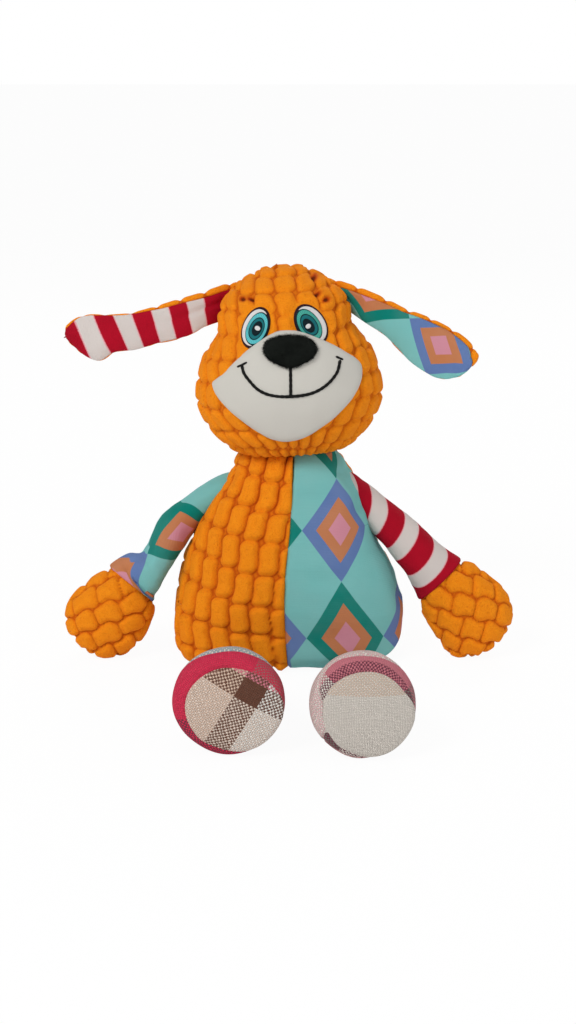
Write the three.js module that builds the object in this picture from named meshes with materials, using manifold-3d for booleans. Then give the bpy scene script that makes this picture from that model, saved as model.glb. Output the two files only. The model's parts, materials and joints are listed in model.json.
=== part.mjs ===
// A plush dog toy that sits with its legs out in front. It is sewn from fabric panels over loose
// filling, with a squeaker in the middle of the torso. The ears, arms, legs and head each swing on
// the seam that joins them. Sizes are in millimetres, +Z is up and the face looks along -Y. The
// origin is on the flat patch of the seat, on the floor. Left and right are the dog's own.
import * as THREE from "three";
import { mergeVertices } from "three/addons/utils/BufferGeometryUtils.js";
import Module from "manifold-3d";

const wasm = await Module();
wasm.setup();

// Fabric and fit
const plushWall = 2.5;
const sleeveWall = 1.6;
const fitGap = 0.3;
const jointGap = 0.6;
const mergeDistance = 1e-4;
const cutOverrun = 400;
// What lies inside a skin is drawn with fewer sides.
const innerSidesShare = 0.5;
const limbRootAngles = [-60, -25];

// Torso, a pear that is widest near the floor
const torsoHeight = 118;
const torsoHalfWidth = 65;
const torsoFrontDepth = 47;
const torsoBackDepth = 41;
const torsoSides = 28;
const torsoSquareness = 2.25;
const seatCut = 0.5;
const sideSeamBehindOrigin = -5;
const torsoCentreBehindOrigin = 3;
// Each row: height, half width, front depth and back depth, as shares of the torso's own sizes.
const torsoProfileShares = [
  [0.0, 0.56, 0.5, 0.5],
  [0.03, 0.84, 0.76, 0.76],
  [0.09, 0.96, 0.9, 0.9],
  [0.19, 1.0, 0.98, 0.98],
  [0.33, 0.965, 1.0, 1.0],
  [0.47, 0.915, 0.95, 0.95],
  [0.6, 0.83, 0.86, 0.88],
  [0.73, 0.735, 0.76, 0.79],
  [0.82, 0.6, 0.66, 0.7],
  [0.92, 0.475, 0.58, 0.65],
];

// Neck, where a dome of filling stands in a round pocket under the head
const neckPivotShare = 0.915;
const neckRadius = 30;
const panelTuck = 10;
const neckDomeAngles = [10, 30, 52, 72];

// Head, a rounded diamond that is widest at the cheeks
const headHeight = 112;
const headHalfWidth = 50;
const headFrontDepth = 47;
const headBackDepth = 40;
const headSides = 28;
const headSquareness = 2.1;
const chinAboveNeckPivot = 5;
const headRoll = 3.8;
const headProfileShares = [
  [0.0, 0.5, 0.62, 0.66],
  [0.04, 0.63, 0.72, 0.75],
  [0.1, 0.78, 0.82, 0.83],
  [0.18, 0.9, 0.92, 0.91],
  [0.29, 0.98, 0.98, 0.97],
  [0.42, 1.0, 1.0, 1.0],
  [0.55, 0.93, 0.96, 0.99],
  [0.66, 0.81, 0.88, 0.94],
  [0.77, 0.685, 0.78, 0.84],
  [0.87, 0.55, 0.62, 0.68],
  [0.95, 0.36, 0.4, 0.45],
];

// Face patches, laid on the face panel
const muzzleHalfWidth = 40.5;
const muzzleHeight = 61;
const muzzleBottomAboveChin = 21;
const muzzleThickness = 2.6;
const muzzleOutlineShares = [
  [0, 0],
  [0.25, 0.03],
  [0.5, 0.11],
  [0.71, 0.22],
  [0.87, 0.345],
  [0.965, 0.47],
  [1, 0.6],
  [0.9, 0.72],
  [0.7, 0.81],
  [0.47, 0.91],
  [0.25, 0.975],
  [0, 1],
];
const noseHalfWidth = 14.5;
const noseHeight = 18;
const noseTopBelowMuzzleTop = 3;
const noseThickness = 3;
const noseOutlineShares = [
  [0, 0],
  [0.3, 0.06],
  [0.66, 0.22],
  [0.94, 0.45],
  [1, 0.64],
  [0.84, 0.85],
  [0.5, 0.97],
  [0, 1],
];
const eyeHalfWidth = 8.4;
const eyeHalfHeight = 11.2;
const eyeSpacing = 29;
const eyeCentreAboveMuzzleTop = 2;
const eyeTilt = 18;
const eyeThickness = 0.9;
const irisShare = 0.7;
const pupilShare = 0.42;
const irisInwardShare = 0.14;
const irisDropShare = 0.1;
const threadThickness = 0.7;
const eyeSides = 20;
const mouthLineWidth = 1.9;
const mouthHalfWidth = 25.5;
const mouthDepth = 18.5;
const mouthBelowNose = 15;
const mouthTickHalfLength = 4;
const mouthTickTilt = 28;
const mouthCurveShares = [
  [1, 1],
  [0.9, 0.62],
  [0.76, 0.36],
  [0.55, 0.15],
  [0.28, 0.03],
  [0, 0],
];

// Ears, two layers of fabric with a flat seam between them
const earLength = 88;
const earHalfWidth = 15.5;
const earLiningThickness = 3;
const earBackThickness = 5;
const earRootHeightShare = 0.815;
const earSectionPoints = 7;
const earRootLean = 28;
// Along the ear: share of its length, half width, thickness and lean, as shares of the ear's own.
const earFormShares = [
  [0.0, 0.72, 0.12, 1],
  [0.14, 0.66, 0.75, 0.55],
  [0.34, 0.7, 0.95, 0.1],
  [0.56, 0.8, 1.0, 0],
  [0.76, 0.95, 0.95, 0],
  [0.9, 0.84, 0.75, 0],
  [0.97, 0.5, 0.45, 0],
];
// How far each point of an ear lies outward, forward and down, as shares of its length
const earSides = {
  right: {
    side: -1,
    lining: "stripedKnit",
    outwardShare: 0.97,
    forwardShares: [0, 0, 0.01, 0.02, 0.03, 0.04, 0.05],
    dropShares: [0, 0.06, 0.12, 0.16, 0.18, 0.2, 0.215],
    twist: 26,
  },
  left: {
    side: 1,
    lining: "printedKnit",
    outwardShare: 0.77,
    forwardShares: [0, 0.02, 0.08, 0.16, 0.24, 0.3, 0.33],
    dropShares: [0, 0.05, 0.15, 0.27, 0.38, 0.44, 0.47],
    twist: 6,
  },
};

// Arms, sleeves that widen to a round paw
const armReach = 74;
const armDrop = 88;
const armForward = 12;
const armHalfWidth = 15;
const armRootRadius = 8.5;
const pawHalfWidth = 23.5;
const pawHalfThickness = 15;
const armSides = 16;
const shoulderHeightShare = 0.8;
const shoulderOutwardShare = 0.64;
const shoulderBehindSeam = 10;
// Along the arm: outward share, forward share, drop share, half width share, half thickness share.
const sleeveFormShares = [
  [0.05, 0.05, 0.05, 0.51, 0.5],
  [0.16, 0.15, 0.15, 0.74, 0.7],
  [0.34, 0.35, 0.31, 0.88, 0.84],
  [0.5, 0.6, 0.47, 0.97, 0.9],
  [0.6, 0.75, 0.575, 1.05, 0.92],
];
const pawFormShares = [
  [0.69, 0.85, 0.67, 0.86, 0.98],
  [0.79, 0.95, 0.78, 1.0, 1.05],
  [0.88, 1.0, 0.87, 0.93, 0.95],
  [0.95, 1.0, 0.94, 0.68, 0.65],
];

// Legs, tubes that swell into a foot with a flat sole
const legLength = 108;
const legRadius = 16;
const legRootRadius = 10.5;
const footRadius = 26;
const soleRadius = 24.5;
const soleThickness = 2.4;
const soleCrown = 4;
const soleCrownWidthShare = 0.6;
const soleCrownRiseShare = 0.7;
const legSides = 18;
const hipSpacing = 62;
const hipHeight = 18;
const hipBeforeSeam = 40;
const legHang = 68;
// Along the leg: length share, then its radius as a share of the step from leg to foot radius.
const legFormShares = [
  [0.1, -0.28],
  [0.25, 0.0],
  [0.45, 0.12],
  [0.62, 0.35],
  [0.74, 0.78],
  [0.84, 1.0],
  [0.96, 1.0],
];
const heelShare = 0.84;
const legSpread = 4;

// Squeaker
const squeakerRadius = 19;
const squeakerHalfThickness = 12;
const squeakerWall = 1.4;
const squeakerSides = 18;
const squeakerSteps = 7;
const mouthRadius = 5;
const reedRadius = 4.6;
const reedLength = 9;
const reedFlangeRadius = 7;
const reedFlangeThickness = 1.2;
const reedHoleRadius = 1.2;
const squeakerHeightShare = 0.42;

// Colours and finishes
const finish = (color, roughness) => new THREE.MeshStandardMaterial({ color, roughness, metalness: 0 });
const materials = {
  orangePlush: finish(0xf08a12, 0.95),
  printedKnit: finish(0x7fc4b8, 0.9),
  stripedKnit: finish(0xb8142c, 0.9),
  whitePlush: finish(0xd8d5d0, 0.95),
  blackPlush: finish(0x161616, 0.95),
  plaidCloth: finish(0xc86a80, 0.95),
  creamCloth: finish(0xd2c6ba, 0.95),
  whiteThread: finish(0xf2f0ee, 0.7),
  tealThread: finish(0x2ba7a8, 0.6),
  blackThread: finish(0x1a1a1e, 0.6),
  filling: finish(0xf4f4f2, 1),
  clearPlastic: finish(0xe8ecee, 0.35),
};

const hands = { right: -1, left: 1 };
const X = new THREE.Vector3(1, 0, 0);
const Y = new THREE.Vector3(0, 1, 0);
const Z = new THREE.Vector3(0, 0, 1);
const radians = THREE.MathUtils.degToRad;

// A closed skin of triangles becomes a solid that can be joined and cut.
function solidOf(geometry) {
  const bare = geometry.index ? geometry.toNonIndexed() : geometry.clone();
  bare.deleteAttribute("normal");
  bare.deleteAttribute("uv");
  const merged = mergeVertices(bare, mergeDistance);
  const mesh = new wasm.Mesh({
    numProp: 3,
    vertProperties: merged.attributes.position.array,
    triVerts: new Uint32Array(merged.index.array),
  });
  return new wasm.Manifold(mesh);
}

function geometryOf(solid) {
  const mesh = solid.getMesh();
  const geometry = new THREE.BufferGeometry();
  geometry.setAttribute("position", new THREE.BufferAttribute(mesh.vertProperties, mesh.numProp));
  geometry.setIndex(new THREE.BufferAttribute(mesh.triVerts, 1));
  geometry.computeVertexNormals();
  return geometry;
}

// Rings of points, with as many points in each, become one closed skin between two poles.
function loft(rings, startPole, endPole) {
  const sides = rings[0].length;
  const points = [startPole, ...rings.flat(), endPole];
  const last = points.length - 1;
  const at = (ring, i) => 1 + ring * sides + (i % sides);
  const faces = [];
  for (let i = 0; i < sides; i++) {
    faces.push(0, at(0, i + 1), at(0, i));
    faces.push(last, at(rings.length - 1, i), at(rings.length - 1, i + 1));
    for (let ring = 0; ring + 1 < rings.length; ring++) {
      faces.push(at(ring, i), at(ring, i + 1), at(ring + 1, i + 1));
      faces.push(at(ring, i), at(ring + 1, i + 1), at(ring + 1, i));
    }
  }
  const geometry = new THREE.BufferGeometry().setFromPoints(points);
  geometry.setIndex(faces);
  const solid = solidOf(geometry);
  if (solid.volume() > 0) return solid;
  for (let i = 0; i < faces.length; i += 3) [faces[i + 1], faces[i + 2]] = [faces[i + 2], faces[i + 1]];
  geometry.setIndex(faces);
  return solidOf(geometry);
}

const power = (value, squareness) => Math.sign(value) * Math.abs(value) ** (2 / squareness);

// One ring of a form: an oval that may be fuller in front (-Y) than behind.
function oval(centre, halfWidth, front, back, sides, squareness) {
  return Array.from({ length: sides }, (_, i) => {
    const turn = (2 * Math.PI * i) / sides;
    const across = power(Math.cos(turn), squareness) * halfWidth;
    const through = power(Math.sin(turn), squareness) * (Math.sin(turn) < 0 ? front : back);
    return new THREE.Vector3(centre.x + across, centre.y + through, centre.z);
  });
}

// A ring across a limb, square to the way the limb runs.
function limbRing(centre, along, halfWidth, halfThickness, sides) {
  const through = Y.clone().addScaledVector(along, -Y.dot(along)).normalize();
  const across = new THREE.Vector3().crossVectors(through, along);
  return Array.from({ length: sides }, (_, i) => {
    const turn = (2 * Math.PI * i) / sides;
    return centre
      .clone()
      .addScaledVector(across, Math.cos(turn) * halfWidth)
      .addScaledVector(through, Math.sin(turn) * halfThickness);
  });
}

const ball = (radius, centre, sides) =>
  solidOf(new THREE.SphereGeometry(radius, sides, sides / 2)).translate(centre.toArray());

// A round bar from one point along a direction, which cuts room for a limb at the end of its swing.
function bar(radius, from, direction, length, sides) {
  const geometry = new THREE.CylinderGeometry(radius, radius, length, sides);
  geometry.translate(0, length / 2, 0);
  geometry.applyQuaternion(new THREE.Quaternion().setFromUnitVectors(Y, direction.clone().normalize()));
  geometry.translate(from.x, from.y, from.z);
  return solidOf(geometry);
}

// A flat outline in X and Z, pushed through the face from front to back.
function prism(outline, frontward) {
  const shape = new THREE.Shape(outline);
  const geometry = new THREE.ExtrudeGeometry(shape, { depth: frontward, bevelEnabled: false });
  geometry.applyMatrix4(new THREE.Matrix4().makeRotationX(Math.PI / 2));
  return solidOf(geometry);
}

// Keeps the part of a solid on the side of a plane that its normal points to.
const keep = (solid, normal, point) => solid.trimByPlane(normal.toArray(), normal.dot(point));

const flipped = (v) => v.clone().negate();

const inner = (sides) => sides * innerSidesShare;

// Torso
const torsoCentre = new THREE.Vector3(0, torsoCentreBehindOrigin, 0);
const neckPivot = new THREE.Vector3(0, torsoCentreBehindOrigin, torsoHeight * neckPivotShare);

function torsoForm(inset, sides) {
  const bottom = -seatCut + inset;
  const top = torsoHeight * torsoProfileShares.at(-1)[0];
  const rings = torsoProfileShares.map(([height, width, front, back]) => {
    const z = bottom + (top - bottom) * (height / torsoProfileShares.at(-1)[0]);
    const centre = new THREE.Vector3(0, torsoCentreBehindOrigin, z);
    return oval(
      centre,
      torsoHalfWidth * width - inset,
      torsoFrontDepth * front - inset,
      torsoBackDepth * back - inset,
      sides,
      torsoSquareness,
    );
  });
  for (const degrees of neckDomeAngles) {
    const radius = (neckRadius - inset) * Math.cos(radians(degrees));
    const centre = neckPivot.clone().addScaledVector(Z, (neckRadius - inset) * Math.sin(radians(degrees)));
    rings.push(oval(centre, radius, radius, radius, sides, 2));
  }
  const start = new THREE.Vector3(0, torsoCentreBehindOrigin, bottom);
  const end = neckPivot.clone().addScaledVector(Z, neckRadius - inset);
  return keep(loft(rings, start, end), Z, new THREE.Vector3(0, 0, inset));
}

// Joints on the torso
const sideSeam = new THREE.Vector3(0, sideSeamBehindOrigin, 0);
const shoulders = {};
const hips = {};
for (const [name, side] of Object.entries(hands)) {
  shoulders[name] = new THREE.Vector3(
    side * torsoHalfWidth * shoulderOutwardShare,
    sideSeamBehindOrigin + shoulderBehindSeam,
    torsoHeight * shoulderHeightShare,
  );
  hips[name] = new THREE.Vector3((side * hipSpacing) / 2, sideSeamBehindOrigin - hipBeforeSeam, hipHeight);
}

// Room in the torso for each limb's rounded root, and for the leg when it hangs
function limbRoom() {
  const rooms = [];
  for (const name of Object.keys(hands)) {
    rooms.push(ball(armRootRadius + jointGap, shoulders[name], armSides));
    const hanging = flipped(Y).applyAxisAngle(X, radians(legHang));
    rooms.push(ball(legRootRadius + jointGap, hips[name], legSides));
    rooms.push(bar(legRootRadius + jointGap, hips[name], hanging, legLength, legSides));
  }
  return rooms;
}

const cutAll = (solid, cutters) => cutters.reduce((left, cutter) => left.subtract(cutter), solid);

// Squeaker: a hollow bulb with the reed pressed into its mouth, which faces up
const squeakerCentre = new THREE.Vector3(0, torsoCentreBehindOrigin, torsoHeight * squeakerHeightShare);

function squeakerBulb(inset, open) {
  const outline = [];
  for (let i = 0; i <= squeakerSteps; i++) {
    const turn = -Math.PI / 2 + (Math.PI * i) / squeakerSteps;
    const radius = (squeakerRadius - inset) * Math.cos(turn);
    outline.push(new THREE.Vector2(Math.max(radius, 0), (squeakerHalfThickness - inset) * Math.sin(turn)));
  }
  outline[0].x = 0;
  outline.at(-1).x = 0;
  const solid = solidOf(new THREE.LatheGeometry(outline, squeakerSides));
  const turned = solid.rotate([90, 0, 0]);
  if (!open) return turned;
  return turned.subtract(bar(mouthRadius, new THREE.Vector3(), Z, squeakerRadius, squeakerSides));
}

function reed() {
  const outline = [
    [reedHoleRadius, -reedLength],
    [reedRadius, -reedLength],
    [reedRadius, 0],
    [reedFlangeRadius, 0],
    [reedFlangeRadius, reedFlangeThickness],
    [reedHoleRadius, reedFlangeThickness],
    [reedHoleRadius, -reedLength],
  ].map(([x, y]) => new THREE.Vector2(x, y));
  return solidOf(new THREE.LatheGeometry(outline, squeakerSides)).rotate([90, 0, 0]);
}

// Head, in its own frame: the origin is the middle of the head and the roll is put on at the end
const headCentre = new THREE.Vector3(
  0,
  torsoCentreBehindOrigin,
  neckPivot.z + chinAboveNeckPivot + headHeight / 2,
);
const headTurn = new THREE.Quaternion().setFromAxisAngle(Y, radians(-headRoll));
const neckInHead = neckPivot.clone().sub(headCentre).applyQuaternion(headTurn.clone().invert());

function headForm(offset, sides = headSides) {
  const chin = -headHeight / 2 - offset;
  const crown = headHeight / 2 + offset;
  const rings = headProfileShares.map(([height, width, front, back]) =>
    oval(
      new THREE.Vector3(0, 0, chin + (crown - chin) * height),
      headHalfWidth * width + offset,
      headFrontDepth * front + offset,
      headBackDepth * back + offset,
      sides,
      headSquareness,
    ),
  );
  return loft(rings, new THREE.Vector3(0, 0, chin), new THREE.Vector3(0, 0, crown));
}

// A half outline on the right becomes a whole one
const acrossFace = (point) => new THREE.Vector2(-point.x, point.y);
const mirrored = (half) => [...half, ...half.slice(1, -1).reverse().map(acrossFace)];

const muzzleBottom = -headHeight / 2 + muzzleBottomAboveChin;
const muzzleTop = muzzleBottom + muzzleHeight;

function muzzleOutline(grow) {
  const middle = (muzzleTop + muzzleBottom) / 2;
  const half = muzzleOutlineShares.map(
    ([x, z]) =>
      new THREE.Vector2(x * (muzzleHalfWidth + grow), middle + (z - 0.5) * (muzzleHeight + 2 * grow)),
  );
  return mirrored(half);
}

const noseTop = muzzleTop - noseTopBelowMuzzleTop;
const noseBottom = noseTop - noseHeight;
const noseOutline = (grow) =>
  mirrored(
    noseOutlineShares.map(
      ([x, z]) =>
        new THREE.Vector2(x * (noseHalfWidth + grow), noseBottom - grow + z * (noseHeight + 2 * grow)),
    ),
  );

// An oval in the face, turned so that the tops of both eyes lean in
function eyeOutline(side, share, inward, drop) {
  const tilt = radians(eyeTilt * side);
  const outline = [];
  for (let i = 0; i < eyeSides; i++) {
    const turn = (2 * Math.PI * i) / eyeSides;
    const x = Math.cos(turn) * eyeHalfWidth * share;
    const z = Math.sin(turn) * eyeHalfHeight * share;
    outline.push(
      new THREE.Vector2(
        side * (eyeSpacing / 2 - inward) + x * Math.cos(tilt) - z * Math.sin(tilt),
        muzzleTop + eyeCentreAboveMuzzleTop - drop + x * Math.sin(tilt) + z * Math.cos(tilt),
      ),
    );
  }
  return outline;
}

// A line of stitching with a width, through points in the face
function stitchLine(points) {
  const strips = points.slice(1).map((to, i) => {
    const from = points[i];
    const run = to.clone().sub(from).normalize();
    const wide = new THREE.Vector2(-run.y, run.x).multiplyScalar(mouthLineWidth / 2);
    const lap = run.multiplyScalar(mouthLineWidth / 3);
    const corners = [
      from.clone().sub(lap).sub(wide),
      to.clone().add(lap).sub(wide),
      to.clone().add(lap).add(wide),
      from.clone().sub(lap).add(wide),
    ];
    return prism(corners, cutOverrun);
  });
  return strips.reduce((joined, strip) => joined.add(strip));
}

function mouthLines() {
  const bottom = noseBottom - mouthBelowNose;
  const half = mouthCurveShares.map(
    ([x, z]) => new THREE.Vector2(x * mouthHalfWidth, bottom + z * mouthDepth),
  );
  const smile = [...half, ...half.slice(0, -1).reverse().map(acrossFace)];
  const lines = [smile, [new THREE.Vector2(0, bottom), new THREE.Vector2(0, noseBottom - mouthLineWidth)]];
  for (const side of Object.values(hands)) {
    const end = new THREE.Vector2(side * mouthHalfWidth, bottom + mouthDepth);
    const tick = new THREE.Vector2(mouthTickHalfLength, 0);
    tick.rotateAround(new THREE.Vector2(), radians(-side * mouthTickTilt));
    lines.push([end.clone().sub(tick), end.clone().add(tick)]);
  }
  return lines.map(stitchLine).reduce((joined, line) => joined.add(line));
}

// Ears, each in a frame at the top of its hinge line, running outward
const earRootHeight = -headHeight / 2 + headHeight * earRootHeightShare;

function headHalfWidthAt(heightShare) {
  const above = headProfileShares.findIndex(([height]) => height >= heightShare);
  const [low, high] = [headProfileShares[above - 1], headProfileShares[above]];
  const t = (heightShare - low[0]) / (high[0] - low[0]);
  return headHalfWidth * (low[1] + (high[1] - low[1]) * t);
}

const earRootOutward = headHalfWidthAt(earRootHeightShare);

// One layer of an ear: flat on the seam side, crowned on the other (normalSide -1 is the front)
function earLayer(ear, thickness, normalSide) {
  const centres = earFormShares.map(
    ([along], i) =>
      new THREE.Vector3(
        ear.side * earLength * along * ear.outwardShare,
        -earLength * ear.forwardShares[i],
        -earLength * ear.dropShares[i],
      ),
  );
  const hinge = Z.clone().applyAxisAngle(Y, -ear.side * radians(earRootLean));
  const rings = earFormShares.map(([, width, thick, lean], i) => {
    const before = centres[Math.max(i - 1, 0)];
    const after = centres[Math.min(i + 1, centres.length - 1)];
    const run = after.clone().sub(before).normalize();
    const twist = radians((ear.twist * i) / (centres.length - 1));
    const up = new THREE.Vector3().crossVectors(run, Y).multiplyScalar(ear.side);
    const wide = up.applyAxisAngle(run, -ear.side * twist).lerp(hinge, lean).normalize();
    const normal = new THREE.Vector3().crossVectors(wide, run).multiplyScalar(ear.side).normalize();
    const outline = [];
    for (let k = 0; k <= earSectionPoints; k++) {
      const turn = (Math.PI * k) / earSectionPoints;
      outline.push([Math.cos(turn), fitGap / 2 + Math.sin(turn) * thickness * thick]);
    }
    const point = ([a, b]) =>
      centres[i]
        .clone()
        .addScaledVector(wide, a * earHalfWidth * width)
        .addScaledVector(normal, normalSide * b);
    return outline.map(point);
  });
  const middle = (ring) =>
    ring[0].clone().add(ring.at(-1)).multiplyScalar(0.5).lerp(ring[Math.round(earSectionPoints / 2)], 0.5);
  return loft(rings, middle(rings[0]), middle(rings.at(-1)));
}

// Arms, each in a frame at its shoulder
function armForm(side, inset, sides) {
  const rows = [
    ...sleeveFormShares.map((r) => [...r, armHalfWidth, armHalfWidth]),
    ...pawFormShares.map((r) => [...r, pawHalfWidth, pawHalfThickness]),
  ];
  const centres = rows.map(
    ([out, forward, drop]) =>
      new THREE.Vector3(side * armReach * out, -armForward * forward, -armDrop * drop),
  );
  const first = centres[0].clone().normalize();
  const rings = [];
  for (const degrees of limbRootAngles) {
    const radius = (armRootRadius - inset) * Math.cos(radians(degrees));
    const centre = first.clone().multiplyScalar((armRootRadius - inset) * Math.sin(radians(degrees)));
    rings.push(limbRing(centre, first, radius, radius, sides));
  }
  rows.forEach(([, , , wide, thick, halfWidth, halfThickness], i) => {
    const before = centres[Math.max(i - 1, 0)];
    const after = centres[Math.min(i + 1, centres.length - 1)];
    const run = after.clone().sub(before).normalize();
    rings.push(limbRing(centres[i], run, halfWidth * wide - inset, halfThickness * thick - inset, sides));
  });
  const tip = new THREE.Vector3(side * armReach, -armForward, -armDrop);
  const last = centres.at(-1);
  const end = tip.sub(last).setLength(Math.max(tip.length() - inset, fitGap)).add(last);
  return loft(rings, first.clone().multiplyScalar(-(armRootRadius - inset)), end);
}

const wristOut = (sleeveFormShares.at(-1)[0] + pawFormShares[0][0]) / 2;
const wristDrop = (sleeveFormShares.at(-1)[2] + pawFormShares[0][2]) / 2;

// Legs, each in a frame at its hip, running forward along -Y
function legForm(side, inset, length, sides) {
  const rise = (footRadius - hipHeight) / (legLength * heelShare);
  const spread = legSpread / legLength;
  const place = (along) => new THREE.Vector3(side * spread * along, -along, rise * along);
  const run = place(legLength).normalize();
  const rings = [];
  for (const degrees of limbRootAngles) {
    const radius = (legRootRadius - inset) * Math.cos(radians(degrees));
    const centre = run.clone().multiplyScalar((legRootRadius - inset) * Math.sin(radians(degrees)));
    rings.push(legRing(centre, radius, sides));
  }
  for (const [along, step] of legFormShares) {
    const radius = legRadius + (footRadius - legRadius) * step - inset;
    rings.push(legRing(place(legLength * along), radius, sides));
  }
  rings.push(legRing(place(length), soleRadius - inset, sides));
  return loft(rings, run.clone().multiplyScalar(-(legRootRadius - inset)), place(length));
}

const legRing = (centre, radius, sides) =>
  Array.from({ length: sides }, (_, i) => {
    const turn = (2 * Math.PI * i) / sides;
    return centre.clone().add(new THREE.Vector3(Math.sin(turn) * radius, 0, -Math.cos(turn) * radius));
  });

function sole(side) {
  const rings = [
    [1, 0],
    [1, soleThickness],
    [soleCrownWidthShare, soleThickness + soleCrown * soleCrownRiseShare],
  ].map(([radiusShare, forward]) => {
    const centre = soleCentre(side).addScaledVector(Y, -fitGap - forward);
    return legRing(centre, (soleRadius - 2 * fitGap) * radiusShare, legSides);
  });
  const back = soleCentre(side).addScaledVector(Y, -fitGap);
  const front = back.clone().addScaledVector(Y, -(soleThickness + soleCrown));
  return loft(rings, back, front);
}

const soleCentre = (side) =>
  new THREE.Vector3(side * legSpread, -legLength, (footRadius - hipHeight) / heelShare);

// The toy, one group for each piece that swings
const toy = new THREE.Group();

function add(group, name, solid, material) {
  const mesh = new THREE.Mesh(geometryOf(solid), material);
  mesh.name = name;
  group.add(mesh);
}

function placedGroup(parent, position) {
  const group = new THREE.Group();
  group.position.copy(position);
  parent.add(group);
  return group;
}

// Torso panels, filling and squeaker
const torso = placedGroup(toy, new THREE.Vector3());
const rooms = limbRoom();
const seamFront = sideSeam.clone().addScaledVector(Y, -fitGap / 2);
const seamBack = sideSeam.clone().addScaledVector(Y, fitGap / 2);
const panelTop = new THREE.Vector3(0, 0, neckPivot.z + panelTuck);
const torsoSkin = torsoForm(0, torsoSides).subtract(torsoForm(plushWall, inner(torsoSides)));
const torsoShell = keep(cutAll(torsoSkin, rooms), flipped(Z), panelTop);
const torsoFront = keep(torsoShell, flipped(Y), seamFront);
const rightEdge = X.clone().multiplyScalar(-fitGap / 2);
const leftEdge = X.clone().multiplyScalar(fitGap / 2);
add(torso, "torso_right_panel", keep(torsoFront, flipped(X), rightEdge), materials.orangePlush);
add(torso, "torso_left_panel", keep(torsoFront, X, leftEdge), materials.printedKnit);
add(torso, "torso_back_panel", keep(torsoShell, Y, seamBack), materials.orangePlush);

const reedRoomHeight = squeakerRadius + 2 * reedFlangeThickness;
const reedRoom = bar(reedFlangeRadius + fitGap, new THREE.Vector3(), Z, reedRoomHeight, squeakerSides);
const squeakerRoom = squeakerBulb(-fitGap, false).add(reedRoom).translate(squeakerCentre.toArray());
const torsoStuffing = torsoForm(plushWall + fitGap, inner(torsoSides));
const torsoFilling = cutAll(torsoStuffing, [...rooms, squeakerRoom]);
const frontHalf = torsoCentre.clone().addScaledVector(Y, -fitGap / 2);
const backHalf = torsoCentre.clone().addScaledVector(Y, fitGap / 2);
add(torso, "torso_filling_front", keep(torsoFilling, flipped(Y), frontHalf), materials.filling);
add(torso, "torso_filling_back", keep(torsoFilling, Y, backHalf), materials.filling);
const squeaker = placedGroup(torso, squeakerCentre);
const bulb = squeakerBulb(0, true).subtract(squeakerBulb(squeakerWall, false));
add(squeaker, "squeaker_bulb", bulb, materials.clearPlastic);
const reedSeat = placedGroup(squeaker, new THREE.Vector3(0, 0, squeakerRadius + fitGap));
add(reedSeat, "squeaker_reed", reed(), materials.clearPlastic);

// Head panels and filling
const head = placedGroup(toy, headCentre);
head.quaternion.copy(headTurn);
const neckRoom = ball(neckRadius + jointGap, neckInHead, headSides);
const headShell = headForm(0).subtract(headForm(-plushWall, inner(headSides))).subtract(neckRoom);
const faceEdge = Y.clone().multiplyScalar(-fitGap / 2);
const backEdge = Y.clone().multiplyScalar(fitGap / 2);
const headStuffing = headForm(-plushWall - fitGap, inner(headSides)).subtract(neckRoom);
add(head, "face_panel", keep(headShell, flipped(Y), faceEdge), materials.orangePlush);
add(head, "head_back_panel", keep(headShell, Y, backEdge), materials.orangePlush);
add(head, "head_filling", headStuffing, materials.filling);

// Face patches: each is a layer of the head's own form, cut to its outline
const layer = (outline, low, high) =>
  prism(outline, cutOverrun).intersect(headForm(high)).subtract(headForm(low));
const muzzleOuter = fitGap + muzzleThickness;
const muzzleMask = prism(muzzleOutline(fitGap), cutOverrun);
add(head, "muzzle_panel", layer(muzzleOutline(0), fitGap, muzzleOuter), materials.whitePlush);
add(
  head,
  "nose_patch",
  layer(noseOutline(0), muzzleOuter + fitGap, muzzleOuter + fitGap + noseThickness),
  materials.blackPlush,
);
const mouthLow = muzzleOuter + fitGap;
const mouth = mouthLines()
  .intersect(headForm(mouthLow + threadThickness))
  .subtract(headForm(mouthLow))
  .subtract(prism(noseOutline(fitGap), cutOverrun));
add(head, "mouth_stitching", mouth, materials.blackThread);
for (const [name, side] of Object.entries(hands)) {
  const inward = irisInwardShare * eyeHalfWidth;
  const drop = irisDropShare * eyeHalfHeight;
  const white = layer(eyeOutline(side, 1, 0, 0), fitGap, fitGap + eyeThickness);
  const irisLow = 2 * fitGap + eyeThickness;
  const iris = layer(eyeOutline(side, irisShare, inward, drop), irisLow, irisLow + threadThickness);
  const pupilLow = irisLow + threadThickness + fitGap;
  const pupil = layer(eyeOutline(side, pupilShare, inward, drop), pupilLow, pupilLow + threadThickness);
  add(head, name + "_eye_white", white.subtract(muzzleMask), materials.whiteThread);
  add(head, name + "_eye_iris", iris.subtract(muzzleMask), materials.tealThread);
  add(head, name + "_eye_pupil", pupil.subtract(muzzleMask), materials.blackThread);
}

// Ears, whose roots are cut to lie along the side of the head
for (const [name, ear] of Object.entries(earSides)) {
  const root = new THREE.Vector3(ear.side * (earRootOutward + jointGap), 0, earRootHeight);
  const group = placedGroup(head, root);
  const skull = headForm(jointGap).translate(flipped(root).toArray());
  const lining = earLayer(ear, earLiningThickness, -1).subtract(skull);
  add(group, name + "_ear_lining", lining, materials[ear.lining]);
  add(group, name + "_ear_back", earLayer(ear, earBackThickness, 1).subtract(skull), materials.orangePlush);
}

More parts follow.
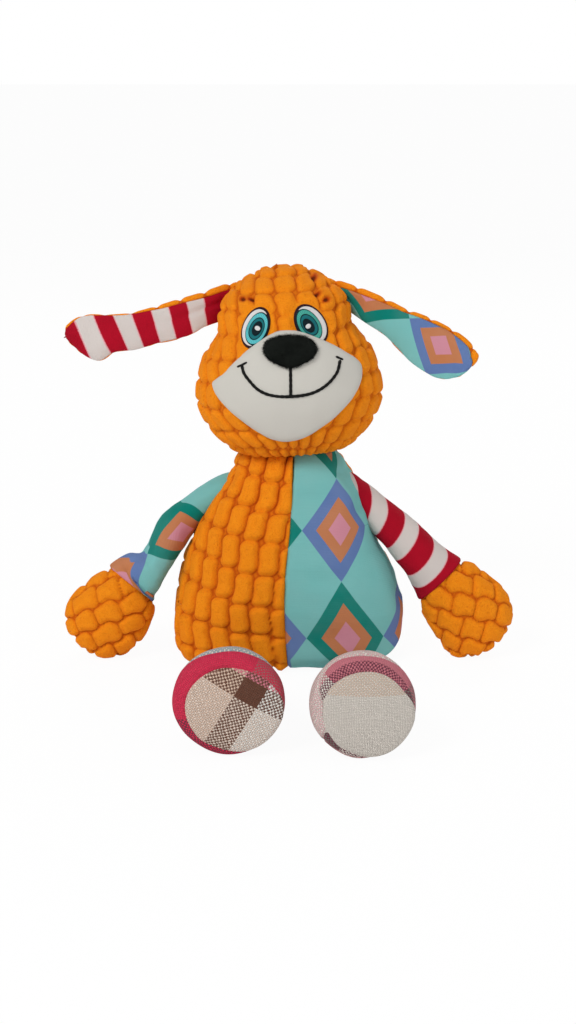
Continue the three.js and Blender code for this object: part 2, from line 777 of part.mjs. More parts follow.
// Arms, whose inner sides are cut where they lie against the torso
for (const [name, side] of Object.entries(hands)) {
  const group = placedGroup(toy, shoulders[name]);
  const rootRoom = ball(armRootRadius, shoulders[name], armSides);
  const torsoSide = torsoForm(-jointGap, torsoSides).subtract(rootRoom);
  const body = torsoSide.translate(flipped(shoulders[name]).toArray());
  const lining = armForm(side, sleeveWall, inner(armSides));
  const shell = armForm(side, 0, armSides).subtract(lining).subtract(body);
  const stuffing = armForm(side, sleeveWall + fitGap, inner(armSides)).subtract(body);
  const run = new THREE.Vector3(side * armReach, 0, -armDrop).normalize();
  const wrist = new THREE.Vector3(side * armReach * wristOut, 0, -armDrop * wristDrop);
  const sleeve = keep(shell, flipped(run), wrist.clone().addScaledVector(run, -fitGap / 2));
  const paw = keep(shell, run, wrist.clone().addScaledVector(run, fitGap / 2));
  add(group, name + "_sleeve", sleeve, name === "right" ? materials.printedKnit : materials.stripedKnit);
  add(group, name + "_paw", paw, materials.orangePlush);
  add(group, name + "_arm_filling", stuffing, materials.filling);
}

// Legs
for (const [name, side] of Object.entries(hands)) {
  const group = placedGroup(toy, hips[name]);
  const lining = legForm(side, sleeveWall, legLength + sleeveWall, inner(legSides));
  const cover = legForm(side, 0, legLength, legSides).subtract(lining);
  const stuffing = legForm(side, sleeveWall + fitGap, legLength - fitGap, inner(legSides));
  add(group, name + "_leg_cover", cover, materials.plaidCloth);
  add(group, name + "_leg_filling", stuffing, materials.filling);
  add(group, name + "_sole", sole(side), materials.creamCloth);
}

export default toy;
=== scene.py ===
# %% [markdown]
# A plush dog toy that sits with its legs out in front. Half of its front is short orange pile
# embossed in bubbles, the other half is knit printed with diamonds, and it has a striped and a
# printed arm and ear. A maker cuts flat panels, sews them edge to edge and stuffs them. Here each
# panel is a surface worked out on a grid, so that the bubbles, stripes and prints can follow the
# cloth as they do on the toy. First comes the frame that every panel is fitted to.

# %% The frame
import json

import bpy
import numpy as np
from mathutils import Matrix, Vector


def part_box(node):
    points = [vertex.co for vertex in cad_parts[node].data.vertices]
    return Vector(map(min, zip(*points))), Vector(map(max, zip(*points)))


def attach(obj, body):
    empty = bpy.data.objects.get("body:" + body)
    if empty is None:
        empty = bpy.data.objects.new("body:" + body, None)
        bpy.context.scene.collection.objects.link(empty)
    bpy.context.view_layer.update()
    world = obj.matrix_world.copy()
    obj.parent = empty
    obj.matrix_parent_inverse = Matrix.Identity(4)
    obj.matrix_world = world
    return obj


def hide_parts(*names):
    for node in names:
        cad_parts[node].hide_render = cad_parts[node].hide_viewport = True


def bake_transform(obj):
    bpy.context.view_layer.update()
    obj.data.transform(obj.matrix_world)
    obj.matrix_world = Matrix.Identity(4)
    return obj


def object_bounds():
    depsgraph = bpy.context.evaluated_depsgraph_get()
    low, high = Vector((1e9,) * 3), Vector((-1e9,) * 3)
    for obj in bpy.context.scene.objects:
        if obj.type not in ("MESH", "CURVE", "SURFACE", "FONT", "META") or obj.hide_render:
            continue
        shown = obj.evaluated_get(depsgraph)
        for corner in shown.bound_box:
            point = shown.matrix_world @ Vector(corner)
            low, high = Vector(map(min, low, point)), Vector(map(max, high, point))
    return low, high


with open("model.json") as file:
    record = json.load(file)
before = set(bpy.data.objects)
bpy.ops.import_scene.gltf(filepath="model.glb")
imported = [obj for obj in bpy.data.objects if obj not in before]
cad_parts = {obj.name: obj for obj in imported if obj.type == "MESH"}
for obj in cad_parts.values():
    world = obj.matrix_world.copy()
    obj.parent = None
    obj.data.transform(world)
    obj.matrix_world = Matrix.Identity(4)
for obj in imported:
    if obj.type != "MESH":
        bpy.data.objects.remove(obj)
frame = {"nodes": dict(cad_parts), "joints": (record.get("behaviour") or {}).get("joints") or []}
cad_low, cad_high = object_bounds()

MM = 0.001
pivots = {joint["name"]: np.array(joint["pos_m"]) / MM for joint in frame["joints"]}


def placed(name, data):
    """An object that shows some data, added to the scene."""
    made = bpy.data.objects.new(name, data)
    bpy.context.scene.collection.objects.link(made)
    return made


# %% [markdown]
# The camera stands in front of the toy, a little above it. Its place is worked out from a
# distance and an angle, so that it turns about the middle of the toy.

# %% Camera
CAMERA_TILT = np.radians(15)
CAMERA_DISTANCE = 950 * MM
LOOK_AT = Vector((0, 0, 83 * MM))
LENS = 58.6

camera = placed("camera", bpy.data.cameras.new("camera"))
camera.data.lens = LENS
away = Vector((0, -np.cos(CAMERA_TILT), np.sin(CAMERA_TILT)))
camera.location = LOOK_AT + away * CAMERA_DISTANCE
camera.rotation_mode = "QUATERNION"
camera.rotation_quaternion = (-away).to_track_quat("-Z", "Y")
bpy.context.scene.camera = camera
bpy.context.scene.view_settings.view_transform = "Standard"
print("camera at", [round(x, 3) for x in camera.location])

# %% [markdown]
# A node tree is easier to read as a list of sums than as a picture, so a small helper adds a
# node, sets the sockets that are given by name and links those that are given another socket.

# %% Helpers for materials
def colour(red, green, blue):
    """A colour as a screen shows it, from 0 to 255, turned into the linear values of a shader."""
    screen = np.array([red, green, blue]) / 255
    linear = np.where(screen < 0.04045, screen / 12.92, ((screen + 0.055) / 1.055) ** 2.4)
    return (*linear.tolist(), 1.0)


class Tree:
    """A node tree that is written from its inputs to its outputs."""

    def __init__(self, tree):
        self.tree = tree

    def add(self, kind, sockets=None, **settings):
        node = self.tree.nodes.new(kind)
        for name, value in settings.items():
            setattr(node, name, value)
        for name, value in (sockets or {}).items():
            if isinstance(value, bpy.types.NodeSocket):
                self.tree.links.new(value, node.inputs[name])
            else:
                node.inputs[name].default_value = value
        return node

    def sum(self, operation, *values):
        """One step of arithmetic."""
        return self.add("ShaderNodeMath", dict(enumerate(values)), operation=operation).outputs[0]

    def mix(self, share, first, second):
        """The first colour where share is 0 and the second where it is 1."""
        return self.add("ShaderNodeMix", {0: share, 6: first, 7: second}, data_type="RGBA").outputs[2]

    def between(self, value, low, high):
        """0 below low, 1 above high and a smooth step from one to the other."""
        sockets = {"Value": value, "From Min": low, "From Max": high}
        return self.add("ShaderNodeMapRange", sockets, interpolation_type="SMOOTHSTEP").outputs[0]

    def parts(self, vector):
        return self.add("ShaderNodeSeparateXYZ", {0: vector}).outputs

    def noise(self, vector, scale, detail=3.0):
        sockets = {"Vector": vector, "Scale": scale, "Detail": detail}
        return self.add("ShaderNodeTexNoise", sockets).outputs["Fac"]


def group(name, inputs, outputs):
    """An empty node group with its named sockets, and the sockets to read and to write."""
    tree = bpy.data.node_groups.new(name, "ShaderNodeTree")
    for label, kind in inputs:
        tree.interface.new_socket(label, in_out="INPUT", socket_type="NodeSocket" + kind)
    for label, kind in outputs:
        tree.interface.new_socket(label, in_out="OUTPUT", socket_type="NodeSocket" + kind)
    inside = Tree(tree)
    return inside, inside.add("NodeGroupInput").outputs, inside.add("NodeGroupOutput").inputs


def finish(name, build, **shader):
    """A material: build() gives its base colour, roughness and height, and shader sets the rest."""
    material = bpy.data.materials.new(name)
    material.use_nodes = True
    tree = Tree(material.node_tree)
    principled = material.node_tree.nodes["Principled BSDF"]
    for label, value in shader.items():
        principled.inputs[label.replace("_", " ")].default_value = value
    base, roughness, height, depth = build(tree)
    tree.tree.links.new(base, principled.inputs["Base Color"])
    tree.tree.links.new(roughness, principled.inputs["Roughness"])
    bump = tree.add("ShaderNodeBump", {"Height": height, "Strength": 1.0, "Distance": depth * MM})
    tree.tree.links.new(bump.outputs[0], principled.inputs["Normal"])
    return material


print("helpers for colours, node trees, node groups and finishes")

# %% [markdown]
# Short pile, knit and woven yarn each show on more than one piece, so each is a node group that
# is built once. A group only gives masks, colours and heights: the shader stays in the material.
# Pile is a fine grain with small pits where the hairs part, and the pits are darkened by painted
# shade.

# %% Pile
# How fine the broad grain and the pits are, as shares of the hairs' fineness
BROAD_GRAIN = 0.22
PIT_GRAIN = 0.6
PIT_RANGE = (0.62, 0.8)
# The painted shade that darkens the pits, and how deep they sink
PIT_SHADE = 0.35
PIT_DEPTH = 0.4
FINE_SHARE = 0.6
BROAD_SHARE = 0.4

tree, given, out = group(
    "pile", [("Position", "Vector"), ("Hair", "Float")], [("Shade", "Float"), ("Height", "Float")]
)
fine = tree.noise(given["Position"], given["Hair"], 4.0)
broad = tree.noise(given["Position"], tree.sum("MULTIPLY", given["Hair"], BROAD_GRAIN), 2.0)
pits = tree.noise(given["Position"], tree.sum("MULTIPLY", given["Hair"], PIT_GRAIN), 1.0)
pits = tree.between(pits, *PIT_RANGE)
grain = tree.sum("ADD", tree.sum("MULTIPLY", fine, FINE_SHARE), tree.sum("MULTIPLY", broad, BROAD_SHARE))
# Shade is the grain less a painted shade in the pits, and Height sinks the pits
tree.tree.links.new(tree.sum("SUBTRACT", grain, tree.sum("MULTIPLY", pits, PIT_SHADE)), out["Shade"])
tree.tree.links.new(tree.sum("SUBTRACT", fine, tree.sum("MULTIPLY", pits, PIT_DEPTH)), out["Height"])
print("node group pile")

# %% [markdown]
# Knit has fine ribs that run up the cloth, and a step across them at each row of loops.

# %% Knit
LOOP_LEAN = 0.35
RIB_SHARE = 0.7
LOOP_SHARE = 0.3

tree, given, out = group("knit", [("Cloth", "Vector"), ("Rib", "Float")], [("Height", "Float")])
across, along, _ = tree.parts(given["Cloth"])
rib = tree.sum("SINE", tree.sum("MULTIPLY", tree.sum("DIVIDE", across, given["Rib"]), 2 * np.pi))
lean = tree.sum("ABSOLUTE", rib)
loop = tree.sum("ADD", tree.sum("DIVIDE", along, given["Rib"]), tree.sum("MULTIPLY", lean, LOOP_LEAN))
course = tree.sum("SINE", tree.sum("MULTIPLY", loop, 2 * np.pi))
ribbed = tree.sum("ADD", tree.sum("MULTIPLY", lean, RIB_SHARE), tree.sum("MULTIPLY", course, LOOP_SHARE))
tree.tree.links.new(ribbed, out["Height"])
print("node group knit")

# %% [markdown]
# In plain weave a warp yarn and a weft yarn take turns on top. Each has its own colour, so where
# a brown stripe of one crosses a beige stripe of the other the cloth shows small checks.

# %% Weave
# How fine the drift of the yarns is and how many yarns wide, and the same for how they are dyed
DRIFT_GRAIN = 0.35
DRIFT = 1.6
DYE_GRAIN = 1.1
DYE_UNEVEN = 1.6
# Painted shade in the gaps between the yarns: how much, and its dark colour
GAP_SHADE = 0.32
GAP_SHADE_COLOUR = (0.05, 0.04, 0.035, 1.0)

tree, given, out = group(
    "weave",
    [("Cloth", "Vector"), ("Yarn", "Float"), ("Warp", "Color"), ("Weft", "Color")],
    [("Color", "Color"), ("Height", "Float")],
)
across, along, _ = tree.parts(given["Cloth"])
drift = tree.noise(given["Cloth"], DRIFT_GRAIN, 2.0)
cells = [
    tree.sum("ADD", tree.sum("DIVIDE", side, given["Yarn"]), tree.sum("MULTIPLY", drift, DRIFT))
    for side in (across, along)
]
over = tree.sum("MODULO", tree.sum("ADD", *[tree.sum("FLOOR", cell) for cell in cells]), 2.0)
over = tree.sum("ABSOLUTE", over)
rounds = [
    tree.sum("SINE", tree.sum("MULTIPLY", tree.sum("FRACT", cell), np.pi)) for cell in cells
]
yarn = tree.sum("POWER", tree.sum("MAXIMUM", tree.sum("MULTIPLY", *rounds), 0.001), 0.5)
uneven = tree.noise(given["Cloth"], DYE_GRAIN, 2.0)
uneven = tree.sum("MULTIPLY", tree.sum("SUBTRACT", uneven, 0.5), DYE_UNEVEN)
over = tree.sum("MAXIMUM", tree.sum("MINIMUM", tree.sum("ADD", over, uneven), 1.0), 0.0)
cloth_colour = tree.mix(over, given["Warp"], given["Weft"])
# Painted shade where the yarns dip between each other
gap_shade = tree.sum("MULTIPLY", tree.sum("SUBTRACT", 1.0, yarn), GAP_SHADE)
tree.tree.links.new(tree.mix(gap_shade, cloth_colour, GAP_SHADE_COLOUR), out["Color"])
tree.tree.links.new(yarn, out["Height"])
print("node group weave")

# %% [markdown]
# The print is a lattice of tall diamonds that touch at their corners. Each has a frame that is
# blue on one and teal on the next, then an orange and a pink diamond inside it.

# %% Diamond print
PRINT_HALF_WIDTH = 22.0
PRINT_HALF_HEIGHT = 30.0
PRINT_ORANGE_SHARE = 0.64
PRINT_PINK_SHARE = 0.32
PRINT_EDGE = 0.012
AQUA = colour(118, 187, 184)
BLUE = colour(94, 120, 172)
TEAL = colour(0, 124, 112)
TAN = colour(190, 120, 78)
PINK = colour(204, 136, 152)

tree, given, out = group("diamonds", [("Cloth", "Vector")], [("Color", "Color")])
across, along, _ = tree.parts(given["Cloth"])
column = tree.sum("DIVIDE", across, PRINT_HALF_WIDTH)
row = tree.sum("DIVIDE", along, PRINT_HALF_HEIGHT)
nearest = [tree.sum("ROUND", tree.sum("MULTIPLY", side, 0.5)) for side in (column, row)]
away = [
    tree.sum("ABSOLUTE", tree.sum("SUBTRACT", side, tree.sum("MULTIPLY", near, 2.0)))
    for side, near in zip((column, row), nearest)
]
inside = tree.sum("ADD", *away)
other = tree.sum("ABSOLUTE", tree.sum("MODULO", tree.sum("ADD", *nearest), 2.0))
frames = tree.mix(other, BLUE, TEAL)
shown = tree.mix(tree.between(inside, 1 - PRINT_EDGE, 1 + PRINT_EDGE), frames, AQUA)
for share, dye in ((PRINT_ORANGE_SHARE, TAN), (PRINT_PINK_SHARE, PINK)):
    shown = tree.mix(tree.between(inside, share + PRINT_EDGE, share - PRINT_EDGE), shown, dye)
tree.tree.links.new(shown, out["Color"])
print("node group diamonds")

# %% [markdown]
# Orange pile is bright where a bubble is full. In the grooves it is painted deep orange, a
# painted shade that stands for the shade there and for the light that comes back from the cloth
# on both sides, and where the darts are pinched it is painted darker still as a painted shadow.
# A few specks of the same painted shade stand for shade where the hairs part. The bubbles are
# real shape, and each point of the mesh carries a number that says how deep in the grooves it
# lies, which the painted shade follows.

# %% Pile materials
PILE_TOP = colour(250, 156, 26)
PILE_MIDDLE = colour(232, 124, 14)
# Painted shade in the grooves, and painted shadow where the darts are pinched
PILE_GROOVE_SHADE = colour(184, 66, 4)
PILE_DART_SHADOW = colour(104, 40, 6)
PILE_HAIR = 1400.0
PATCH_GRAIN = 260.0
PATCH_SHARE = 0.3
# Specks of painted shade: how fine they are, where they show and how strong they are
SHADE_SPECK_GRAIN = 1500.0
SHADE_SPECK_RANGE = (0.55, 0.75)
SHADE_SPECK_SHARE = 0.3
# How strongly the painted shade follows the grooves, and where the painted dart shadow shows
GROOVE_SHADE_SHARE = 0.9
DART_SHADOW_RANGE = (1.05, 1.7)
PILE_BUMP = 0.7


def use(tree, name, sockets):
    """Places a node group and returns its outputs. Each socket gets a value or a link."""
    node = tree.add("ShaderNodeGroup", node_tree=bpy.data.node_groups[name])
    for label, value in sockets.items():
        if isinstance(value, bpy.types.NodeSocket):
            tree.tree.links.new(value, node.inputs[label])
        else:
            node.inputs[label].default_value = value
    return node.outputs


def mark(tree, name, output="Fac"):
    """What a point of the mesh carries under a name."""
    return tree.add("ShaderNodeAttribute", attribute_name=name).outputs[output]


def position(tree):
    """Where a point of the object is, in metres."""
    return tree.add("ShaderNodeTexCoord").outputs["Object"]


def rough(tree, mask, most=0.97, drop=0.1):
    """The roughness of cloth: most, less a share of the mask."""
    return tree.sum("MULTIPLY_ADD", mask, -drop, most)


def orange_pile(tree):
    """Middle to top colour by the pile's shade, then painted shade by how deep in the grooves the
    point lies, deep orange in them and darker still at the darts, and a few specks of painted shade."""
    pile = use(tree, "pile", {"Position": position(tree), "Hair": PILE_HAIR})
    full = tree.mix(pile["Shade"], PILE_MIDDLE, PILE_TOP)
    patchy = tree.between(tree.noise(position(tree), PATCH_GRAIN, 3.0), 0.3, 0.7)
    full = tree.mix(tree.sum("MULTIPLY", patchy, PATCH_SHARE), full, PILE_MIDDLE)
    # Painted shade: deep orange in the grooves, darker still in the darts, and specks
    groove_shade = mark(tree, "groove_shade")
    deep = tree.sum("MINIMUM", tree.sum("MULTIPLY", groove_shade, GROOVE_SHADE_SHARE), 1.0)
    shown = tree.mix(deep, full, PILE_GROOVE_SHADE)
    shown = tree.mix(tree.between(groove_shade, *DART_SHADOW_RANGE), shown, PILE_DART_SHADOW)
    shade_speck = tree.between(tree.noise(position(tree), SHADE_SPECK_GRAIN, 1.0), *SHADE_SPECK_RANGE)
    shown = tree.mix(tree.sum("MULTIPLY", shade_speck, SHADE_SPECK_SHARE), shown, PILE_GROOVE_SHADE)
    return shown, rough(tree, pile["Shade"]), pile["Height"], PILE_BUMP


def plain_pile(dark, light, hair, depth):
    """Pile of one dye, from dark to light by its shade."""
    def build(tree):
        pile = use(tree, "pile", {"Position": position(tree), "Hair": hair})
        dye = tree.mix(pile["Shade"], dark, light)
        return dye, rough(tree, pile["Shade"]), pile["Height"], depth
    return build


print("the grain of the pile repeats", PILE_HAIR, "times in a metre")

# %% Pile finishes
MATT = 0.12
SHEEN_ORANGE = colour(255, 170, 60)
WHITE_PILE = (colour(195, 192, 184), colour(199, 196, 188))
WHITE_HAIR = 3000.0
WHITE_BUMP = 0.1
BLACK_PILE = (colour(8, 10, 9), colour(26, 30, 26))
BLACK_HAIR = 1500.0
BLACK_BUMP = 0.25

orange = finish("orange_pile", orange_pile, Sheen_Weight=0.12, Sheen_Roughness=0.4,
                Sheen_Tint=SHEEN_ORANGE, Specular_IOR_Level=MATT)
white = finish("white_pile", plain_pile(*WHITE_PILE, WHITE_HAIR, WHITE_BUMP),
               Sheen_Weight=0.05, Sheen_Roughness=0.5, Specular_IOR_Level=MATT)
black = finish("black_pile", plain_pile(*BLACK_PILE, BLACK_HAIR, BLACK_BUMP), Specular_IOR_Level=MATT)
print("pile materials", orange.name, white.name, black.name)

# %% [markdown]
# The two knits share their ribs. One takes its colour from the diamond print, the other from
# stripes that run across the cloth. Both read the cloth's own coordinates in millimetres, which
# each piece carries, so a print bends and stretches with its panel.

# %% Knit materials
STRIPE = 10.6
STRIPE_EDGE = 0.35
RED = colour(182, 12, 40)
STRIPE_WHITE = colour(208, 199, 194)
STRIPE_PINK = colour(228, 150, 160)
DEEP_RED = colour(150, 6, 28)
RIB = 0.9
KNIT_BUMP = 0.1
KNIT_ROUGH = 0.95
# How fine the worn patches are, their colour and how much of it shows
WORN_GRAIN = 60.0
WORN_COLOUR = colour(190, 196, 196)
WORN_SHARE = 0.07
RED_GRAIN = 70.0
# How ragged a stripe's edge is, and the range and the share of the pink that has run along it
RAGGED_GRAIN = 1.2
RAGGED = 0.5
PINK_RANGE = (0.9, 0.3)
PINK_SHARE = 0.8


def printed(tree):
    """The diamond print, a little greyed where it is worn."""
    cloth = mark(tree, "cloth", "Vector")
    knit = use(tree, "knit", {"Cloth": cloth, "Rib": RIB})
    diamonds = use(tree, "diamonds", {"Cloth": cloth})
    worn = tree.between(tree.noise(position(tree), WORN_GRAIN, 2.0), 0.2, 0.9)
    shown = tree.mix(tree.sum("MULTIPLY", worn, WORN_SHARE), diamonds["Color"], WORN_COLOUR)
    return shown, rough(tree, knit["Height"], KNIT_ROUGH), knit["Height"], KNIT_BUMP


def striped(tree):
    """A wave rises and falls once in each pair of stripes, and the cloth is red above its
    middle."""
    cloth = mark(tree, "cloth", "Vector")
    knit = use(tree, "knit", {"Cloth": cloth, "Rib": RIB})
    along = tree.parts(cloth)[1]
    wave = tree.sum("PINGPONG", tree.sum("SUBTRACT", along, STRIPE / 2), STRIPE)
    ragged = tree.sum("SUBTRACT", tree.noise(cloth, RAGGED_GRAIN, 1.0), 0.5)
    wave = tree.sum("ADD", wave, tree.sum("MULTIPLY", ragged, RAGGED))
    red = tree.between(wave, STRIPE / 2 - STRIPE_EDGE, STRIPE / 2 + STRIPE_EDGE)
    edge = tree.between(tree.sum("ABSOLUTE", tree.sum("SUBTRACT", wave, STRIPE / 2)), *PINK_RANGE)
    pale = tree.mix(tree.sum("MULTIPLY", edge, PINK_SHARE), STRIPE_WHITE, STRIPE_PINK)
    worn = tree.noise(position(tree), RED_GRAIN, 2.0)
    shown = tree.mix(red, pale, tree.mix(worn, RED, DEEP_RED))
    return shown, rough(tree, knit["Height"], KNIT_ROUGH), knit["Height"], KNIT_BUMP


print_knit = finish("printed_knit", printed, Specular_IOR_Level=MATT)
stripe_knit = finish("striped_knit", striped, Specular_IOR_Level=MATT)
print("knit materials", print_knit.name, stripe_knit.name)

# %% [markdown]
# The feet are cut from woven scraps. A stripe of yarn is a step in a colour ramp: one ramp
# colours the warp from its place across the cloth, and one the weft from its place along it.

# %% Woven materials
BEIGE = colour(222, 194, 172)
CREAM = colour(228, 220, 210)
FAWN = colour(218, 188, 167)
PALE_BEIGE = colour(226, 206, 191)
WHITE = colour(236, 230, 222)
BROWN = colour(96, 48, 24)
MAGENTA = colour(222, 12, 72)
ROSE = colour(214, 120, 134)
PALE_ROSE = colour(236, 190, 192)
DUSTY = colour(176, 92, 96)
PLUM = colour(104, 24, 56)
MIST = colour(146, 172, 182)
GREY = colour(122, 112, 106)
FLUFF = 0.08
FLUFF_GRAIN = 1800.0
WOVEN_BUMP = 0.45
SCRAP_EDGE = 0.2


def stripes(tree, value, low, high, steps):
    """The colour of yarn at a place: steps are (share of the way from low to high, colour)."""
    share = tree.add("ShaderNodeMapRange", {"Value": value, "From Min": low, "From Max": high}).outputs[0]
    ramp = tree.add("ShaderNodeValToRGB", {"Fac": share})
    ramp.color_ramp.interpolation = "CONSTANT"
    while len(ramp.color_ramp.elements) < len(steps):
        ramp.color_ramp.elements.new(1.0)
    for element, (place, dye) in zip(ramp.color_ramp.elements, steps):
        element.position = place
    for element, (place, dye) in zip(ramp.color_ramp.elements, steps):
        element.color = dye
    return ramp.outputs[0]


def woven(warp, weft, reach, yarn, scrap=None):
    """warp and weft are lists of stripes, over cloth that runs from -reach to reach. scrap gives
    the two colours of another scrap, where the third part of the cloth's coordinate is below 0."""
    def build(tree):
        cloth = mark(tree, "cloth", "Vector")
        across, along, past_scrap = tree.parts(cloth)
        dyes = [
            stripes(tree, side, -reach, reach, steps) for side, steps in ((across, warp), (along, weft))
        ]
        if scrap:
            behind = tree.between(past_scrap, SCRAP_EDGE, -SCRAP_EDGE)
            dyes = [tree.mix(behind, dye, other) for dye, other in zip(dyes, scrap)]
        weave = use(tree, "weave", {"Cloth": cloth, "Yarn": yarn, "Warp": dyes[0], "Weft": dyes[1]})
        fluff = tree.noise(position(tree), FLUFF_GRAIN, 2.0)
        shown = tree.mix(tree.sum("MULTIPLY", fluff, FLUFF), weave["Color"], CREAM)
        return shown, rough(tree, fluff), weave["Height"], WOVEN_BUMP
    return build


print("woven colours ready")

# %% [markdown]
# Eyes and mouth are satin stitch: threads laid side by side. The mesh carries a coordinate that
# runs across the threads, and a sine of it gives their ridges.

# %% Thread materials
THREAD = 0.42
THREAD_GRAIN = 500.0
THREAD_BUMP = 0.12
THREAD_ROUGH = (2.2, -0.6)
BLACK_THREAD = (colour(4, 4, 4), colour(26, 25, 24))
RIM_THREAD = (colour(20, 8, 16), colour(52, 26, 38))
WHITE_THREAD = (colour(200, 197, 196), colour(238, 236, 234))


def thread(dark, light):
    """Dark to light by the mean of the threads' ridges and a noise, and smoother where light. The
    ridges are painted shade between the threads and painted light on their tops, and the noise is
    uneven thread.
    """
    def build(tree):
        across, along, _ = tree.parts(mark(tree, "cloth", "Vector"))
        ridge = tree.sum("SINE", tree.sum("MULTIPLY", across, 2 * np.pi / THREAD))
        ridge = tree.sum("ADD", tree.sum("MULTIPLY", ridge, 0.5), 0.5)
        patchy = tree.noise(position(tree), THREAD_GRAIN, 2.0)
        # The ridges' part of the share is painted shade between the threads
        share = tree.sum("MULTIPLY", tree.sum("ADD", ridge, patchy), 0.5)
        return tree.mix(share, dark, light), tree.between(share, *THREAD_ROUGH), ridge, THREAD_BUMP
    return build


black_thread = finish("black_thread", thread(*BLACK_THREAD), Specular_IOR_Level=MATT)
rim_thread = finish("rim_thread", thread(*RIM_THREAD), Specular_IOR_Level=MATT)
white_thread = finish("white_thread", thread(*WHITE_THREAD), Specular_IOR_Level=MATT)
print("thread materials", black_thread.name, rim_thread.name, white_thread.name)

# %% [markdown]
# Every piece of cloth is a grid of points. Its outer face is the grid, its inner face is the same
# grid one thickness further in, and strips of faces close the open edges, so each piece is a
# closed body as real cloth is. Lengths are in millimetres until piece() turns them into metres.

# %% Helpers for surfaces
def smooth(table, at):
    """Reads every column of a table at places along its first column. Between two rows runs a
    cubic whose slope at each row is the slope between that row's neighbours."""
    table = np.asarray(table, float)
    places, rows = table[:, 0], table[:, 1:]
    slopes = np.gradient(rows, places, axis=0)
    at = np.clip(np.asarray(at, float), places[0], places[-1])
    i = np.clip(np.searchsorted(places, at, side="right") - 1, 0, len(places) - 2)
    gap = (places[i + 1] - places[i])[..., None]
    t = (at - places[i])[..., None] / gap
    value = (
        rows[i] * (1 + 2 * t) * (1 - t) ** 2
        + slopes[i] * gap * t * (1 - t) ** 2
        + rows[i + 1] * t**2 * (3 - 2 * t)
        + slopes[i + 1] * gap * t**2 * (t - 1)
    )
    return np.moveaxis(value, -1, 0)


def oval(turn, squareness=2.0):
    """Across and through shares of an oval: the cosine and sine, each to the power that makes
    the sum of |across|^squareness and |through|^squareness 1."""
    across, through = np.cos(turn), np.sin(turn)
    bend = 2 / squareness
    return np.sign(across) * np.abs(across) ** bend, np.sign(through) * np.abs(through) ** bend


def turns(count):
    """Turns once round, evenly spaced, as one row."""
    return np.linspace(0, 2 * np.pi, count, endpoint=False)[None, :]


def arc(points, axis):
    """The distance run along one direction of a grid: the running sum of its steps."""
    steps = np.linalg.norm(np.diff(points, axis=axis), axis=-1)
    return np.concatenate([np.zeros_like(np.take(steps, [0], axis)), np.cumsum(steps, axis)], axis)


def facing(points, wrap=False):
    """Unit normals, from the cross product of the two directions of the grid, turned away from
    the middle of the grid."""
    wide = np.hstack([points[:, -2:-1], points, points[:, 1:2]]) if wrap else points
    across = np.gradient(wide, axis=1)
    across = across[:, 1:-1] if wrap else across
    normal = np.cross(across, np.gradient(points, axis=0))
    normal /= np.maximum(np.linalg.norm(normal, axis=-1, keepdims=True), 1e-9)
    outward = np.sum(normal * (points - points.mean((0, 1))))
    return normal if outward > 0 else -normal


def ripple(points, size, seed):
    """Soft unevenness from -1 to 1: the mean of eight sine waves that cross the points in seeded
    directions, each about `size` long."""
    chance = np.random.default_rng(seed)
    ways = chance.normal(size=(8, 3))
    pace = 2 * np.pi / size * chance.uniform(0.7, 1.4, (8, 1))
    ways *= pace / np.linalg.norm(ways, axis=1, keepdims=True)
    return np.sin(points @ ways.T + chance.uniform(0, 2 * np.pi, 8)).mean(-1)


def tuck(distance, radius):
    """How far cloth rolls in near a seam: a quarter circle that is `radius` deep at the seam and
    ends a radius away."""
    near = np.clip(1 - distance / radius, 0, 1)
    return radius * (1 - np.sqrt(1 - near**2))


print("helpers for smooth tables, ovals, distances, normals, ripples and seams")


# %% Building a piece
def piece(name, outer, inner, marks, wrap=False, poles=(False, False)):
    """Builds a closed mesh from an outer and an inner grid. A wrapped grid closes round its
    columns. Each end of the rows is closed by a strip, or by fans to two poles."""
    rows, columns = outer.shape[:2]
    count = rows * columns
    index = np.arange(count).reshape(rows, columns)
    if wrap:
        index = np.hstack([index, index[:, :1]])
    quads = np.stack([index[:-1, :-1], index[:-1, 1:], index[1:, 1:], index[1:, :-1]], -1).reshape(-1, 4)
    faces = [quads, quads[:, ::-1] + count]
    points = [outer.reshape(-1, 3), inner.reshape(-1, 3)]
    values = {label: [grid.reshape(count, -1)] * 2 for label, grid in marks.items()}
    fans = []
    edges = [(index[0, 1:], index[0, :-1], poles[0]), (index[-1, :-1], index[-1, 1:], poles[1])]
    if not wrap:
        edges += [(index[:-1, 0], index[1:, 0], False), (index[1:, -1], index[:-1, -1], False)]
    tip = 2 * count
    for start, end, pole in edges:
        if not pole:
            faces.append(np.stack([start, end, end + count, start + count], -1))
            continue
        for level, (a, b) in enumerate([(start, end), (end, start)]):
            fans.append(np.stack([a + level * count, b + level * count, np.full_like(a, tip)], -1))
            points.append(points[level][start].mean(0, keepdims=True))
            for label in values:
                values[label].append(values[label][level][start].mean(0, keepdims=True))
            tip += 1
    points = np.concatenate(points)
    quads = np.concatenate(faces)
    corners = points[quads]
    volume = np.sum(np.cross(corners[:, 0], corners[:, 1]) * corners[:, 2])
    volume += np.sum(np.cross(corners[:, 0], corners[:, 2]) * corners[:, 3])
    fans = np.concatenate(fans) if fans else np.zeros((0, 3), int)
    if volume < 0:
        quads, fans = quads[:, ::-1], fans[:, ::-1]
    mesh = bpy.data.meshes.new(name)
    mesh.from_pydata((points * MM).tolist(), [], quads.tolist() + fans.tolist())
    for label, parts in values.items():
        data = np.concatenate(parts)
        kind, field = ("FLOAT_VECTOR", "vector") if data.shape[1] == 3 else ("FLOAT", "value")
        mesh.attributes.new(label, kind, "POINT").data.foreach_set(field, data.astype(np.float32).ravel())
    mesh.shade_smooth()
    made = placed(name, mesh)
    print(name, len(mesh.polygons), "faces")
    return made


